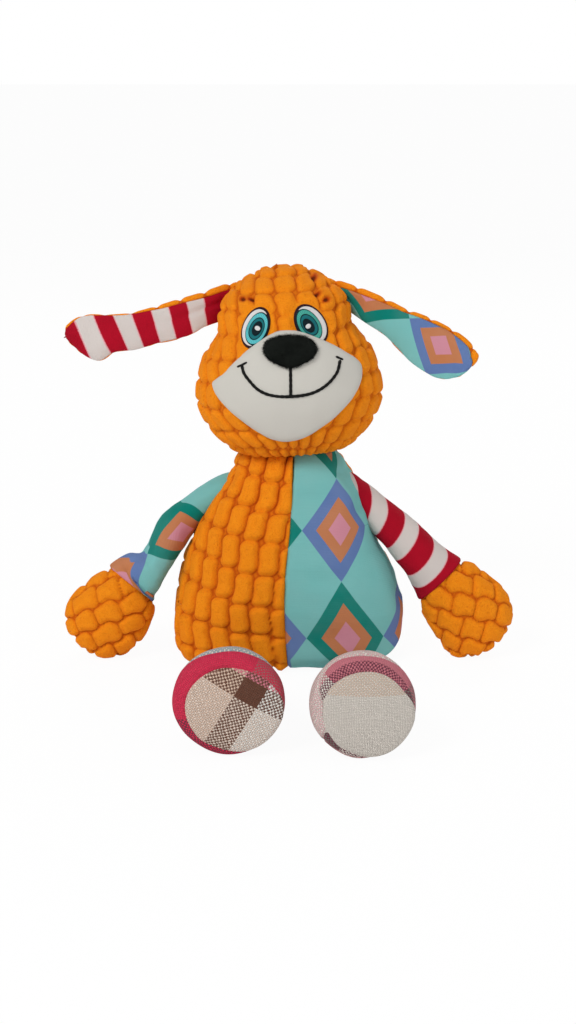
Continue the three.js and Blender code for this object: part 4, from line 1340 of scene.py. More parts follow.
# The share of the hairs that stand close to the edge, and how close
EDGE_HAIRS = 0.35
EDGE_FROM = 0.93
HAIR_LEAN = 0.9
HAIR_SWING = 0.35
HAIR_RISE = 0.8


def hair_roots(line, chance):
    """Seeded places on a patch: the point of the outline on whose ray each lies, and its share
    of the way from the middle to that point."""
    share = np.sqrt(chance.uniform(0.0, 1.0, HAIRS))
    share = np.where(chance.random(HAIRS) < EDGE_HAIRS, chance.uniform(EDGE_FROM, 1.0, HAIRS), share)
    spot = chance.uniform(0, len(line), HAIRS)
    return line[spot.astype(int) % len(line)], share


def hairs(name, line, low, thick, edge, seed):
    """Spikes on a patch: a root, three corners round it and a tip, joined by four triangles."""
    chance = np.random.default_rng(seed)
    middle = line.mean(0)
    rim, share = hair_roots(line, chance)
    flat = middle + (rim - middle) * share[:, None]
    inward = (1 - share) * np.linalg.norm(rim - middle, axis=1)
    lift = low + thick * np.sqrt(1 - np.clip(1 - inward / edge, 0, 1) ** 2) - HAIR_SINK
    root = on_face(flat[:, 0], flat[:, 1], lift)
    lean = (rim - middle) / np.linalg.norm(rim - middle, axis=1, keepdims=True) * (share**3)[:, None]
    swing = lean * HAIR_LEAN + chance.normal(0, HAIR_SWING, (HAIRS, 2))
    long = HAIR_LENGTH * chance.uniform(0.6, 1.15, HAIRS)
    ends = flat + swing * long[:, None]
    tip = on_face(ends[:, 0], ends[:, 1], lift + long * HAIR_RISE)
    turn = chance.uniform(0, 2 * np.pi, HAIRS)[:, None] + np.arange(3) * 2 * np.pi / 3
    ring = np.stack([np.cos(turn), 0 * turn, np.sin(turn)], -1) * HAIR_WIDTH
    points = np.concatenate([root[:, None] + ring, tip[:, None]], 1)
    corner = np.arange(HAIRS)[:, None, None] * 4
    faces = (np.array([[0, 1, 2], [0, 3, 1], [1, 3, 2], [2, 3, 0]]) + corner).reshape(-1, 3)
    mesh = bpy.data.meshes.new(name)
    mesh.from_pydata((points.reshape(-1, 3) * MM).tolist(), [], faces.tolist())
    made = placed(name, mesh)
    print(name, HAIRS, "hairs")
    return made


nose_hairs = hairs("nose_hairs", nose_line, NOSE_LOW, NOSE_THICK, NOSE_EDGE, 43)
dress(nose_hairs, black, "black_plush")
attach(nose_hairs, "head")

# %% [markdown]
# The smile is a line of stitches. A line is carried along a path of points, with a round section
# that is flattened on the face, and its radius swells at each stitch.

# %% Smile
SMILE = [
    (-22.8, 6.5), (-22, 2.5), (-19.3, -1.6), (-15.9, -5.4), (-11.5, -8), (-6, -9.4), (-0.5, -9.9),
    (5, -9.9), (11.3, -9.2), (16.9, -7.2), (21.9, -3.7), (24.9, -0.1), (26.6, 5.3),
]
TICKS = [[(-25.3, 5.1), (-19.9, 7.6)], [(24.4, 7.2), (28.2, 5.0)]]
PHILTRUM = [(1.6, 4.6), (1.2, -2.9), (0.7, -10.1)]
LINE_RADIUS = 0.85
TICK_RADIUS = LINE_RADIUS * 0.6
LINE_STEP = 0.3
STITCH = 2.6
STITCH_LEAST = 0.82
LINE_FLATNESS = 0.8
CORE = 0.3
CORE_FLATNESS = 0.2
LINE_LIFT = NOSE_LOW + 0.1


def stitched(name, path, radius, lift, sides=10):
    """A thread along a path in the face: an oval section, half sunk in the cloth, whose radius
    rises and falls once in each stitch. Its ends are closed to points."""
    path = np.array(path, float)
    run = np.concatenate([[0], np.cumsum(np.linalg.norm(np.diff(path, axis=0), axis=1))])
    places = np.linspace(0, run[-1], max(int(run[-1] / LINE_STEP), 6))
    if len(path) > 2:
        line = np.stack(smooth(np.column_stack([run, path]), places), -1)
    else:
        line = path[0] + (path[1] - path[0]) * (places / run[-1])[:, None]
    ahead = np.gradient(line, axis=0)
    ahead /= np.linalg.norm(ahead, axis=1, keepdims=True)
    turn = turns(sides)
    swell = radius * (STITCH_LEAST + (1 - STITCH_LEAST) * np.abs(np.sin(np.pi * places / STITCH)))
    ends = np.minimum(places, run[-1] - places)
    swell = (swell * np.sqrt(np.clip(ends / radius, 0.02, 1)))[:, None]
    side = np.cos(turn) * swell
    x = line[:, :1] - ahead[:, 1:] * side
    z = line[:, 1:] + ahead[:, :1] * side
    outer = on_face(x, z, lift + np.sin(turn) * swell * LINE_FLATNESS)
    core_x = x * CORE + line[:, :1] * (1 - CORE)
    core_z = z * CORE + line[:, 1:] * (1 - CORE)
    inner = on_face(core_x, core_z, lift + np.sin(turn) * swell * CORE_FLATNESS)
    cloth = np.stack([places[:, None] + 0.35 * side, side, 0 * side], -1)
    return piece(name, outer, inner, {"cloth": cloth}, wrap=True)


lines = [
    stitched(name, path, LINE_RADIUS, LINE_LIFT) for name, path in (("smile", SMILE), ("philtrum", PHILTRUM))
]
lines += [stitched(f"smile_end_{i}", tick, TICK_RADIUS, LINE_LIFT) for i, tick in enumerate(TICKS)]
for line in lines:
    dress(line, black_thread, "black_thread", *(["mouth_stitching"] if line.name == "smile" else []))
    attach(line, "head")

# %% [markdown]
# Each eye is embroidered in layers: a dark rim, a white, an iris of teal rings, a dark pupil and
# a white glint. An outline in the face is an ellipse that leans in at the top, and each layer is
# a patch of that shape laid a thread higher than the last.

# %% Iris thread
INNER_TEAL = colour(24, 112, 118)
DEEP_TEAL = colour(12, 80, 88)
DARK_TEAL = colour(6, 34, 42)
IRIS_RAYS = 26.0
# Shares of the iris's radius where the inner ring ends, where its dark line runs and where the
# outer line starts
INNER_RING = (0.6, 0.66)
RING_LINE = 0.64
RING_LINE_WIDTH = (0.045, 0.025)
OUTER_LINE = (0.88, 0.92)
IRIS_BUMP = 0.15


def iris_thread(light):
    """Rings of teal thread: the mesh carries the distance from the middle as a share."""
    def build(tree):
        around, _, share = tree.parts(mark(tree, "cloth", "Vector"))
        ray = tree.sum("ABSOLUTE", tree.sum("SINE", tree.sum("MULTIPLY", around, IRIS_RAYS)))
        band = tree.mix(tree.sum("MULTIPLY", ray, 0.45), light, DEEP_TEAL)
        inside = tree.mix(tree.sum("MULTIPLY", ray, 0.3), INNER_TEAL, DEEP_TEAL)
        band = tree.mix(tree.between(share, *INNER_RING), inside, band)
        outer_line = tree.between(share, *OUTER_LINE)
        from_line = tree.sum("ABSOLUTE", tree.sum("SUBTRACT", share, RING_LINE))
        dark = tree.sum("MAXIMUM", outer_line, tree.between(from_line, *RING_LINE_WIDTH))
        return tree.mix(dark, band, DARK_TEAL), tree.sum("MULTIPLY_ADD", ray, 0.15, 0.5), ray, IRIS_BUMP
    return build


iris_threads = {
    side: finish(side + "_iris_thread", iris_thread(colour(*eye["dye"])), Specular_IOR_Level=MATT)
    for side, eye in EYES.items()
}
pupil_thread = finish("pupil_thread", thread(colour(1, 12, 16), colour(4, 32, 40)), Specular_IOR_Level=MATT)
print("iris threads", [material.name for material in iris_threads.values()])

# %% Eyes
EYE_LOW = 0.7
EYE_LAYER = 0.35
EYE_OVERLAP = 0.25
GLINT_HALF = (1.5, 1.3)
# Each layer's name, its share of its half sizes and its slot
EYE_LAYERS = [
    ("rim", 1.0, "black_thread"),
    ("white", 0.9, "white_thread"),
    ("iris", 1.0, "teal_thread"),
    ("pupil", 0.46, "black_thread"),
    ("glint", 1.0, "white_thread"),
]
STITCHED_NODES = ("white", "iris", "pupil")


def eye_outline(eye, half, share, shift):
    """An ellipse turned by the eye's lean, at a distance from the eye's middle."""
    turn = np.linspace(0, 2 * np.pi, 72, endpoint=False)
    lean = np.radians(eye["lean"])
    x, z = np.cos(turn) * half[0] * share, np.sin(turn) * half[1] * share
    across = eye["place"][0] + shift[0] + x * np.cos(lean) - z * np.sin(lean)
    up = eye["place"][1] + shift[1] + x * np.sin(lean) + z * np.cos(lean)
    return np.stack([across, up], -1)


def eye_layers(side, eye):
    """Half sizes, place from the eye's middle and thread of each layer of an eye."""
    place = np.array(eye["iris"])
    glint = np.array(eye["glint"])
    return {
        "rim": (eye["half"], (0, 0), rim_thread),
        "white": (eye["half"], (0, 0), white_thread),
        "iris": (eye["iris_half"], place, iris_threads[side]),
        "pupil": (eye["iris_half"], place + glint * 0.5, pupil_thread),
        "glint": (GLINT_HALF, place + glint, white_thread),
    }


def rings_round(line):
    """Marks for an iris: the direction from its middle, and the share of the way to its edge."""
    middle = line.mean(0)
    return lambda x, z, share: np.stack([np.arctan2(z - middle[1], x - middle[0]), share, share], -1)


def threads_across(x, z, share):
    """Marks for the other layers: the place in the face, so that the threads lie side by side."""
    return np.stack([x, z, share], -1)


def eye_layer(side, eye, level, part, share, slot):
    """One layer: a thin patch, a thread higher than the layer under it."""
    half, shift, dye = eye_layers(side, eye)[part]
    line = eye_outline(eye, half, share, shift)
    marks = rings_round(line) if part == "iris" else threads_across
    low = EYE_LOW + level * EYE_LAYER
    made = patch(f"{side}_eye_{part}_thread", line, low, EYE_LAYER + EYE_OVERLAP, 1.0, marks, rings=16)
    dress(made, dye, slot, *([f"{side}_eye_{part}"] if part in STITCHED_NODES else []))
    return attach(made, "head")


for side, eye in EYES.items():
    for level, layer in enumerate(EYE_LAYERS):
        eye_layer(side, eye, level, *layer)

# %% [markdown]
# Ears, arms and legs are tubes. A tube's table gives points along two opposite edges of its
# flat pattern, as they are seen from the front, and how far its cloth swells to the front and
# to the back. The section between the edges is an oval.

# %% Tubes
# The share of the way over which a tube's direction is measured
TUBE_STEP = 0.004


def lengths(edges):
    """A table for smooth(): each row of edges after its share of the way along the middle."""
    edges = np.array(edges, float)
    middle = (edges[:, :3] + edges[:, 3:6]) / 2
    run = np.concatenate([[0], np.cumsum(np.linalg.norm(np.diff(middle, axis=0), axis=1) + 0.5)])
    return np.column_stack([run / run[-1], edges])


def tube(edges, share, turn, squareness=2.0):
    """Points round a tube: turn is 0 at its first edge, a quarter at the front, half at the
    second edge. The front direction is square to the run and to the line between the edges."""
    table = lengths(edges)
    values = smooth(table, np.broadcast_to(share, np.broadcast(share, turn).shape))
    ahead, behind = (smooth(table, np.clip(share + way * TUBE_STEP, 0, 1))[:6] for way in (1, -1))
    run = np.moveaxis((ahead - behind)[:3] + (ahead - behind)[3:], 0, -1)
    first, second = np.moveaxis(values[:3], 0, -1), np.moveaxis(values[3:6], 0, -1)
    wide = (first - second) / 2
    front = np.cross(run, wide)
    front /= np.linalg.norm(front, axis=-1, keepdims=True)
    front *= -np.sign(front[..., 1:2].mean())
    across, through = oval(turn, squareness)
    swell = np.where(through > 0, values[6], values[7]) * through
    return (first + second) / 2 + wide * across[..., None] + front * swell[..., None]


def eased(rows, power=1.6):
    """Shares from 0 to 1 that come closer together towards 1, where a tube's end turns in."""
    return (1 - (1 - np.linspace(0, 1, rows)) ** power)[:, None]


print("five eased shares", eased(5)[:, 0].round(2).tolist())

# %% [markdown]
# Each ear has orange pile behind and knit in front. The pile wraps over the upper edge as a
# rim, widest near the head, and the lining is creased along its middle where the ear is folded
# into the head's seam.

# %% Ears
# Upper edge, lower edge, swell to the front and to the back, in millimetres
EARS = {
    "right": [
        [-24.0, 10, 212.5, -26.0, 10, 196.0, 1.0, 2.0],
        [-33.0, 8, 211.8, -35.0, 7, 192.0, 2.2, 3.5],
        [-45.0, 4, 208.2, -44.3, 2, 189.3, 3.0, 4.8],
        [-59.0, 1, 204.3, -56.5, -1, 183.7, 3.0, 5.0],
        [-75.8, 0, 199.4, -73.1, -2, 179.6, 3.0, 5.0],
        [-89.5, 0, 196.4, -84.8, -2, 176.5, 3.2, 5.2],
        [-103.7, 0, 196.0, -96.9, -3, 174.6, 3.2, 5.2],
        [-110.9, 0, 195.8, -104.3, -3, 170.6, 3.0, 5.0],
        [-116.3, 0, 194.3, -110.8, -3, 172.4, 2.8, 4.4],
        [-121.0, 0, 191.0, -116.8, -3, 176.6, 2.2, 3.2],
        [-123.5, -1, 187.9, -121.4, -2, 180.9, 1.2, 1.8],
        [-123.8, -1, 184.9, -123.2, -2, 183.6, 0.3, 0.4],
    ],
    "left": [
        [17.0, 9, 214.8, 25.0, 9, 199.0, 1.0, 2.0],
        [25.3, 7, 214.0, 33.0, 7, 196.8, 2.2, 3.5],
        [35.9, 2, 211.5, 37.2, 2, 194.9, 2.8, 4.6],
        [45.9, -3, 208.2, 42.0, -3, 192.2, 3.0, 5.0],
        [55.8, -5, 203.9, 47.6, -5, 188.6, 3.0, 5.0],
        [64.6, -8, 199.8, 53.4, -8, 184.8, 3.2, 5.0],
        [73.5, -12, 197.0, 59.8, -12, 178.9, 3.4, 5.2],
        [82.0, -16, 193.9, 67.0, -16, 172.2, 3.6, 5.4],
        [90.0, -19, 189.8, 74.7, -19, 166.9, 3.6, 5.4],
        [97.7, -22, 184.2, 82.0, -22, 164.2, 3.2, 4.8],
        [101.8, -24, 179.0, 89.0, -24, 164.5, 2.4, 3.6],
        [102.0, -25, 174.6, 94.9, -25, 167.0, 1.4, 2.0],
        [99.6, -25, 171.0, 98.0, -25, 169.6, 0.3, 0.4],
    ],
}
EAR_RIM = {
    "right": [[0, 52], [0.2, 44], [0.45, 32], [0.6, 12], [0.75, 4], [0.88, 8], [1, 40]],
    "left": [[0, 50], [0.3, 43], [0.5, 31], [0.75, 23], [0.9, 30], [1, 70]],
}
# How much the ear's rows come closer together towards its tip
EAR_EASE = 1.4
# The turn of the lining's lower edge in degrees
EAR_LINING_LOW = 176.0


def outwards(side):
    """The way from the toy's middle to a side: -1 on the dog's right, 1 on its left."""
    return -1 if side == "right" else 1


def ear_grid(side, rows, columns, lining):
    """The ear's tube on a grid. The lining covers the turns from the rim to its lower edge in
    degrees, and the back covers the rest."""
    share = eased(rows, EAR_EASE)
    rim = np.interp(share[:, 0], *np.transpose(EAR_RIM[side]))[:, None]
    way = EAR_LINING_LOW - rim if lining else -(rim + 360 - EAR_LINING_LOW)
    turn = np.radians(rim + way * np.linspace(0, 1, columns))
    points = tube(EARS[side], share, turn)
    middle = columns // 2
    return share, turn, points, arc(points[:, middle:middle + 1], 0) + np.zeros(turn.shape)


def bent(made):
    """Bakes the cloth's transform into its mesh."""
    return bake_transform(made)


def sew_ear(made):
    """Bakes an ear's transform into its mesh, through bent()."""
    return bent(made)


print("rows of the ears", {side: len(rows) for side, rows in EARS.items()})

# %% Ear linings
EAR_HALF_WIDTH = 10.5
EAR_DENTS = 0.5
CREASE_DEPTH = 1.6
CREASE_WIDTH = 2.0
CREASE_PLACE = 1.0
CREASE_ENDS = {"right": 0.55, "left": 0.2}
# Where the first stripe starts along the ear, how it slants, steps over the crease and crowds
# towards the tip, and the least place, so that all that is nearer to the head is of one colour
EAR_STRIPES_START = 22.9
EAR_STRIPES_SLANT = 3.0
EAR_STRIPES_STEP = 0.9
EAR_STEP_WIDTH = 0.8
EAR_STRIPES_CROWD = 0.005
EAR_STRIPES_CROWD_FROM = 71
EAR_STRIPE_SHRINK = 1.09
EAR_STRIPES_LEAST = -9.4
# Where the middle of the blue diamond lies along and across the ear, its slant and its shrink
EAR_PRINT_START = 70.7
EAR_PRINT_MIDDLE = 4.6
EAR_PRINT_SLANT = 0.12
EAR_PRINT_SHRINK = (1.25, 1.29)


def ear_stripes(across, along, share):
    """Stripes across the ear: the distance along it, less a slant and a crowding that grows with
    the square of the distance, plus a step from one side of the crease to the other."""
    fading = np.clip(1 - share / CREASE_ENDS["right"], 0, 1)
    step = EAR_STRIPES_STEP * np.tanh((across - CREASE_PLACE) / EAR_STEP_WIDTH) * fading
    past = along - EAR_STRIPES_START - EAR_STRIPES_SLANT * across / (2 * EAR_HALF_WIDTH)
    past = past - EAR_STRIPES_CROWD * np.clip(along - EAR_STRIPES_CROWD_FROM, 0, None) ** 2
    up = np.maximum(past * EAR_STRIPE_SHRINK + step, EAR_STRIPES_LEAST)
    return np.stack([across, up, 0 * along], -1)


def ear_print(points, along):
    """The diamonds on the ear: distances from the blue diamond's middle, each leant by the
    other."""
    wide = arc(points, 1)
    wide = wide[:, -1:] / 2 - wide - EAR_PRINT_MIDDLE
    past = along - EAR_PRINT_START
    right = (wide + EAR_PRINT_SLANT * past) * EAR_PRINT_SHRINK[0]
    return np.stack([right, (past + EAR_PRINT_SLANT * wide) * EAR_PRINT_SHRINK[1], 0 * along], -1)


def ear_lining(side):
    """The knit in front. Its crease is a bell curve across the ear and fades towards the tip."""
    share, turn, points, along = ear_grid(side, 150, 56, True)
    across = np.cos(turn) * EAR_HALF_WIDTH
    crease = np.exp(-((across - CREASE_PLACE) / CREASE_WIDTH) ** 2)
    crease = crease * np.clip(1 - share / CREASE_ENDS[side], 0, 1)
    height = EAR_DENTS * ripple(points, 16, 51) - CREASE_DEPTH * crease
    outer, inner = sewn(stuffed(points, every=5, slack=0.02, most=1.0), height, roll=1.2)
    cloth = ear_stripes(across, along, share) if side == "right" else ear_print(points, along)
    made = piece(side + "_ear_lining_knit", outer, inner, {"cloth": cloth})
    knit, slot = (stripe_knit, "striped_knit") if side == "right" else (print_knit, "printed_knit")
    dress(made, knit, slot, side + "_ear_lining", fill=0.5)
    return sew_ear(made)


# %% Ear backs
EAR_COLUMN = 8.6
EAR_ROW = 13.5
EAR_BUBBLE = 0.42
EAR_SEEDS = {"right": 61, "left": 71}


def ear_back(side):
    """The pile behind, whose edge shows in front as a rim."""
    share, turn, points, along = ear_grid(side, 190, 96, False)
    column = arc(points, 1) / EAR_COLUMN + 0.2
    height, groove_shade = bubbles(column, along / EAR_ROW + 0.3, EAR_COLUMN, EAR_ROW, EAR_SEEDS[side],
                             rise=0.4, end_gap=0.0)
    outer, inner = sewn(points, height * EAR_BUBBLE * calm(points, 3.0, 4.0, 3.0), roll=1.2)
    made = piece(side + "_ear_back_pile", outer, inner, {"groove_shade": groove_shade})
    dress(made, orange, "orange_plush", side + "_ear_back", fill=0.6)
    return sew_ear(made)


for side in EARS:
    ear_lining(side)
    ear_back(side)

# %% [markdown]
# A sleeve is one tube of knit and a paw one mitten of pile. The dog's right arm is bent at the
# elbow, and the left one hangs straighter. The paw's bubbles are cut from flat cloth, so on its
# front and on its back they keep to straight columns and are cut off by the seam round its edge.

# %% Arms
# Upper edge, lower edge, swell to the front and to the back, in millimetres
SLEEVES = {
    "right": [
        [-32.0, 5, 105.0, -33.0, 5, 90.0, 9.0, 8.5],
        [-40.0, 4, 101.8, -41.5, 4, 86.0, 9.6, 9.5],
        [-48.5, 3, 97.4, -47.0, 3, 80.5, 10.0, 10.0],
        [-57.2, 1, 92.0, -52.4, 1, 75.0, 10.4, 10.2],
        [-65.4, -1, 87.0, -56.8, -1, 68.6, 10.8, 10.5],
        [-71.6, -3, 81.6, -61.0, -3, 62.4, 11.2, 11.0],
        [-76.6, -4, 73.0, -65.4, -4, 55.2, 11.8, 11.5],
        [-80.8, -5, 65.6, -69.6, -5, 48.8, 12.6, 12.0],
        [-84.2, -6, 61.9, -72.4, -6, 44.0, 13.0, 12.2],
        [-89.8, -7, 61.2, -74.4, -7, 39.6, 13.2, 12.4],
        [-96.4, -7, 57.8, -75.9, -7, 35.6, 13.2, 12.4],
        [-102.4, -8, 53.2, -76.6, -8, 32.2, 13.0, 12.2],
    ],
    "left": [
        [30.0, 5, 109.0, 33.0, 5, 90.0, 9.5, 8.5],
        [38.5, 4, 104.6, 40.5, 4, 84.0, 10.0, 9.5],
        [47.0, 3, 98.0, 45.2, 3, 77.0, 10.5, 10.2],
        [57.0, 1, 90.0, 50.6, 1, 70.6, 10.8, 10.6],
        [66.0, -1, 83.8, 56.0, -1, 64.4, 11.2, 11.0],
        [74.5, -3, 77.0, 61.4, -3, 57.4, 11.8, 11.5],
        [82.2, -5, 69.8, 66.6, -5, 49.8, 12.6, 12.0],
        [90.2, -6, 62.8, 70.6, -6, 41.6, 13.2, 12.4],
        [99.4, -7, 56.6, 74.8, -7, 32.6, 13.2, 12.4],
    ],
}
PAWS = {
    "right": [
        [-94.6, -7, 55.4, -78.2, -7, 39.6, 9.0, 8.4],
        [-96.8, -7, 54.0, -78.4, -7, 37.6, 10.0, 9.4],
        [-100.6, -8, 51.4, -78.2, -8, 33.8, 12.0, 11.4],
        [-108.5, -8, 48.0, -77.4, -8, 26.5, 14.6, 14.0],
        [-116.2, -8, 41.6, -79.6, -8, 19.6, 15.2, 14.6],
        [-122.4, -8, 35.6, -83.2, -8, 12.4, 15.2, 14.8],
        [-126.2, -8, 28.4, -89.4, -8, 5.0, 14.4, 14.2],
        [-126.6, -8, 20.0, -97.6, -8, 0.6, 12.4, 12.2],
        [-123.6, -8, 12.8, -105.6, -8, 0.2, 9.2, 9.0],
        [-119.0, -8, 7.2, -111.4, -8, 2.0, 5.0, 5.0],
        [-116.2, -8, 4.9, -114.6, -8, 3.8, 1.2, 1.2],
    ],
    "left": [
        [90.8, -6, 57.6, 74.2, -6, 43.6, 8.6, 8.2],
        [94.2, -7, 56.0, 75.8, -7, 39.4, 9.8, 9.2],
        [97.8, -8, 54.6, 76.6, -8, 33.8, 11.6, 11.0],
        [104.0, -8, 54.0, 77.4, -8, 26.6, 13.8, 13.2],
        [108.6, -8, 51.6, 80.2, -8, 21.4, 14.6, 14.0],
        [115.6, -8, 46.0, 84.2, -8, 15.0, 15.2, 14.6],
        [122.4, -8, 40.0, 88.4, -8, 7.6, 15.2, 14.8],
        [127.2, -8, 32.4, 94.0, -8, 1.4, 14.2, 14.0],
        [128.0, -8, 22.8, 101.6, -8, 0.0, 12.0, 12.0],
        [124.8, -8, 14.8, 108.8, -8, 1.6, 8.6, 8.6],
        [120.0, -8, 9.4, 113.8, -8, 4.6, 4.6, 4.6],
        [117.6, -8, 7.2, 116.4, -8, 6.2, 1.2, 1.2],
    ],
}
print("rows of the sleeves and paws", {side: (len(SLEEVES[side]), len(PAWS[side])) for side in PAWS})

# %% Sleeves
# Depth, size and seed of two layers of dents, and how they are squeezed
SLEEVE_DENTS = ((0.5, 26, 81, (1, 1, 1)), (0.25, 14, 82, (1, 1, 2.5)))
# Where the middle of the right sleeve's teal diamond lies along and round the arm, how the print
# is shrunk, sheared and turned on it, and how it is twisted towards the wrist
SLEEVE_PRINT = (37.6, -3.0)
SLEEVE_PRINT_SHRINK = (1.11, 1.12)
SLEEVE_PRINT_SHEAR = 0.28
SLEEVE_PRINT_TURN = np.arctan2(PRINT_HALF_HEIGHT, PRINT_HALF_WIDTH)
SLEEVE_TWIST_FROM = 14.0
SLEEVE_TWIST = 0.025
# Past this distance round the arm some of the print is hidden in the seam
SLEEVE_SEAM = 17
SLEEVE_HIDDEN = 5
# Places along the left sleeve, and along its stripes
STRIPE_PLACES = [[0, -29.6], [8.1, -10.6], [19.6, 0], [40.8, 21.2], [60.2, 42.4], [78.3, 63.6], [90, 77]]
STRIPE_SKEW = -0.8
STRIPE_BOW = 5.4


def round_tube(points):
    """The distance run round each ring of a tube, and the length of the whole ring."""
    ring = arc(np.concatenate([points, points[:, :1]], 1), 1)
    return ring[:, :-1], ring[:, -1:]


def sleeve_print(points, along):
    """The diamonds on the right sleeve, turned so that their sides run along and round it."""
    round_way, total = round_tube(points)
    outward = (total * 0.75 - round_way) % total - total / 2
    outward = (outward - SLEEVE_PRINT[1]) * SLEEVE_PRINT_SHRINK[1]
    outward = np.where(outward > SLEEVE_SEAM, np.maximum(outward - SLEEVE_HIDDEN, SLEEVE_SEAM), outward)
    past = (along - SLEEVE_PRINT[0]) * SLEEVE_PRINT_SHRINK[0] - SLEEVE_PRINT_SHEAR * outward
    outward = outward + SLEEVE_TWIST * np.clip(past - SLEEVE_TWIST_FROM, 0, None) ** 2
    lean, rise = np.cos(SLEEVE_PRINT_TURN), np.sin(SLEEVE_PRINT_TURN)
    right = 2 * PRINT_HALF_WIDTH + past * lean - outward * rise
    return np.stack([right, past * rise + outward * lean, 0 * along], -1)


def sleeve_stripes(points, along, turn):
    """Stripes round the left sleeve: places along it, less a skew times 1 - cos(turn) and a bow
    times sin(turn)."""
    bow = STRIPE_SKEW * (1 - np.cos(turn)) + STRIPE_BOW * np.sin(turn)
    place = np.interp(along - bow, *np.transpose(STRIPE_PLACES))
    return np.stack([round_tube(points)[0], place, 0 * along], -1)


def sleeve(side):
    """A tube of knit from the torso to the wrist, open at both ends."""
    turn = turns(120)
    points = tube(SLEEVES[side], np.linspace(0, 1, 130)[:, None], turn, 2.1)
    along = arc(points.mean(1, keepdims=True), 0) + np.zeros(points.shape[:2])
    height = sum(deep * ripple(points * squeeze, size, seed) for deep, size, seed, squeeze in SLEEVE_DENTS)
    full = stuffed(points, every=4, slack=0.04, most=1.6, wrap=True)
    outer, inner = sewn(full, height, roll=2.2, ends=(False, False, False, True), wrap=True)
    is_print = side == "right"
    cloth = sleeve_print(points, along) if is_print else sleeve_stripes(points, along, turn)
    made = piece(side + "_sleeve_knit", outer, inner, {"cloth": cloth}, wrap=True)
    knit, slot = (print_knit, "printed_knit") if is_print else (stripe_knit, "striped_knit")
    dress(made, knit, slot, side + "_sleeve", fill=0.75)
    return bent(made)


# %% Paws
PAW_WIDTH = 12.4
PAW_LENGTH = 15.0
PAW_TURN = np.radians(34)
PAW_BUBBLE = 0.75
PAW_CORNER = 3.4
# How strong the painted shade in the paw's grooves is
PAW_GROOVE_SHADE = 0.9
PAW_SEEDS = {"right": 91, "left": 95}
# The first column on the front and on the back of the paw
PAW_COLUMNS = (0.4, 3.1)
PAW_DENTS = 0.5
# How far the pile sinks at the wrist's seam, and how far from it the bubbles are full
CUFF_SINK = 0.6
CUFF_REACH = 11


def paw_bubbles(side, points, turn):
    """Bubbles on straight columns, turned on the paw, that sink at the cuff and roll in at the
    seam round the edge."""
    ring, total = round_tube(points)
    edge = np.minimum(np.minimum(ring, total - ring), np.abs(ring - total / 2))
    from_front = np.where(turn < np.pi, ring - total / 4, ring - total * 3 / 4)
    along = arc(points[:, 50:51], 0) + np.zeros(ring.shape)
    lean, rise = np.cos(PAW_TURN), np.sin(PAW_TURN)
    column = (rise * along + lean * from_front) / PAW_WIDTH + np.where(turn < np.pi, *PAW_COLUMNS)
    row = (lean * along - rise * from_front) / PAW_LENGTH + 0.2
    height, groove_shade = bubbles(column, row, PAW_WIDTH, PAW_LENGTH, PAW_SEEDS[side],
                             0.4, -0.2, 0.15, 0.08, PAW_CORNER)
    height = (height * PAW_BUBBLE + CUFF_SINK) * np.clip(along / CUFF_REACH, 0, 1) ** 2
    return height - CUFF_SINK - tuck(edge, 2.0), groove_shade * PAW_GROOVE_SHADE


def paw(side):
    """A mitten of pile: a tube whose far end closes to a point."""
    turn = turns(200)
    points = tube(PAWS[side], eased(120, 1.5), turn, 2.15)
    height, groove_shade = paw_bubbles(side, points, turn)
    height = height + PAW_DENTS * ripple(points, 24, 92)
    outer, inner = sewn(points, height, roll=2.4, ends=(False, False, True, False), wrap=True)
    made = piece(side + "_paw_pile", outer, inner, {"groove_shade": groove_shade}, wrap=True, poles=(False, True))
    dress(made, orange, "orange_plush", side + "_paw", fill=0.9)
    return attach(made, side + "_arm")


for side in ("right", "left"):
    sleeve(side)
    paw(side)

# %% [markdown]
# A leg is a tube of woven scraps that comes forward from the hip and swells to a round foot,
# and its cloth folds over the edge of a flat sole. The sole is a disc of another scrap, with its
# edge rolled in where it is sewn.

# %% Leg finishes
SOLE_REACH = 30.0
LEG_REACH = 110.0
SOLE_YARN = 1.05
CREAM_YARN = 0.8
# Each stripe starts at a share of the way from -reach to reach
SOLE_STRIPES = {
    "right": ([(0.0, FAWN), (0.43, BROWN), (0.643, WHITE)],
              [(0.0, PALE_BEIGE), (0.625, BROWN), (0.806, ROSE)]),
    "left": ([(0.0, CREAM)], [(0.0, CREAM), (0.673, BEIGE)]),
}
LEG_STRIPES = {
    "right": ([(0.0, PLUM), (0.245, DUSTY), (0.427, MAGENTA), (0.727, PLUM)],
              [(0.0, MAGENTA), (0.766, PALE_ROSE)]),
    "left": ([(0.0, CREAM), (0.218, GREY), (0.36, ROSE), (0.6, CREAM), (0.73, GREY), (0.82, CREAM)],
             [(0.0, ROSE), (0.74, PLUM)]),
}
SCRAPS = {"right": (MIST, CREAM), "left": (CREAM, PALE_ROSE)}


def leg_finish(name, stripes_of, reach, yarn, scrap=None):
    """A woven finish from its stripes."""
    return finish(name, woven(*stripes_of, reach, yarn, scrap), Specular_IOR_Level=MATT)


sole_cloth = {
    "right": leg_finish("plaid_sole", SOLE_STRIPES["right"], SOLE_REACH, SOLE_YARN),
    "left": leg_finish("cream_sole", SOLE_STRIPES["left"], SOLE_REACH, CREAM_YARN),
}
leg_cloth = {
    side: leg_finish(side + "_leg_weave", LEG_STRIPES[side], LEG_REACH, SOLE_YARN, SCRAPS[side])
    for side in ("right", "left")
}
print("leg finishes", [material.name for material in leg_cloth.values()])

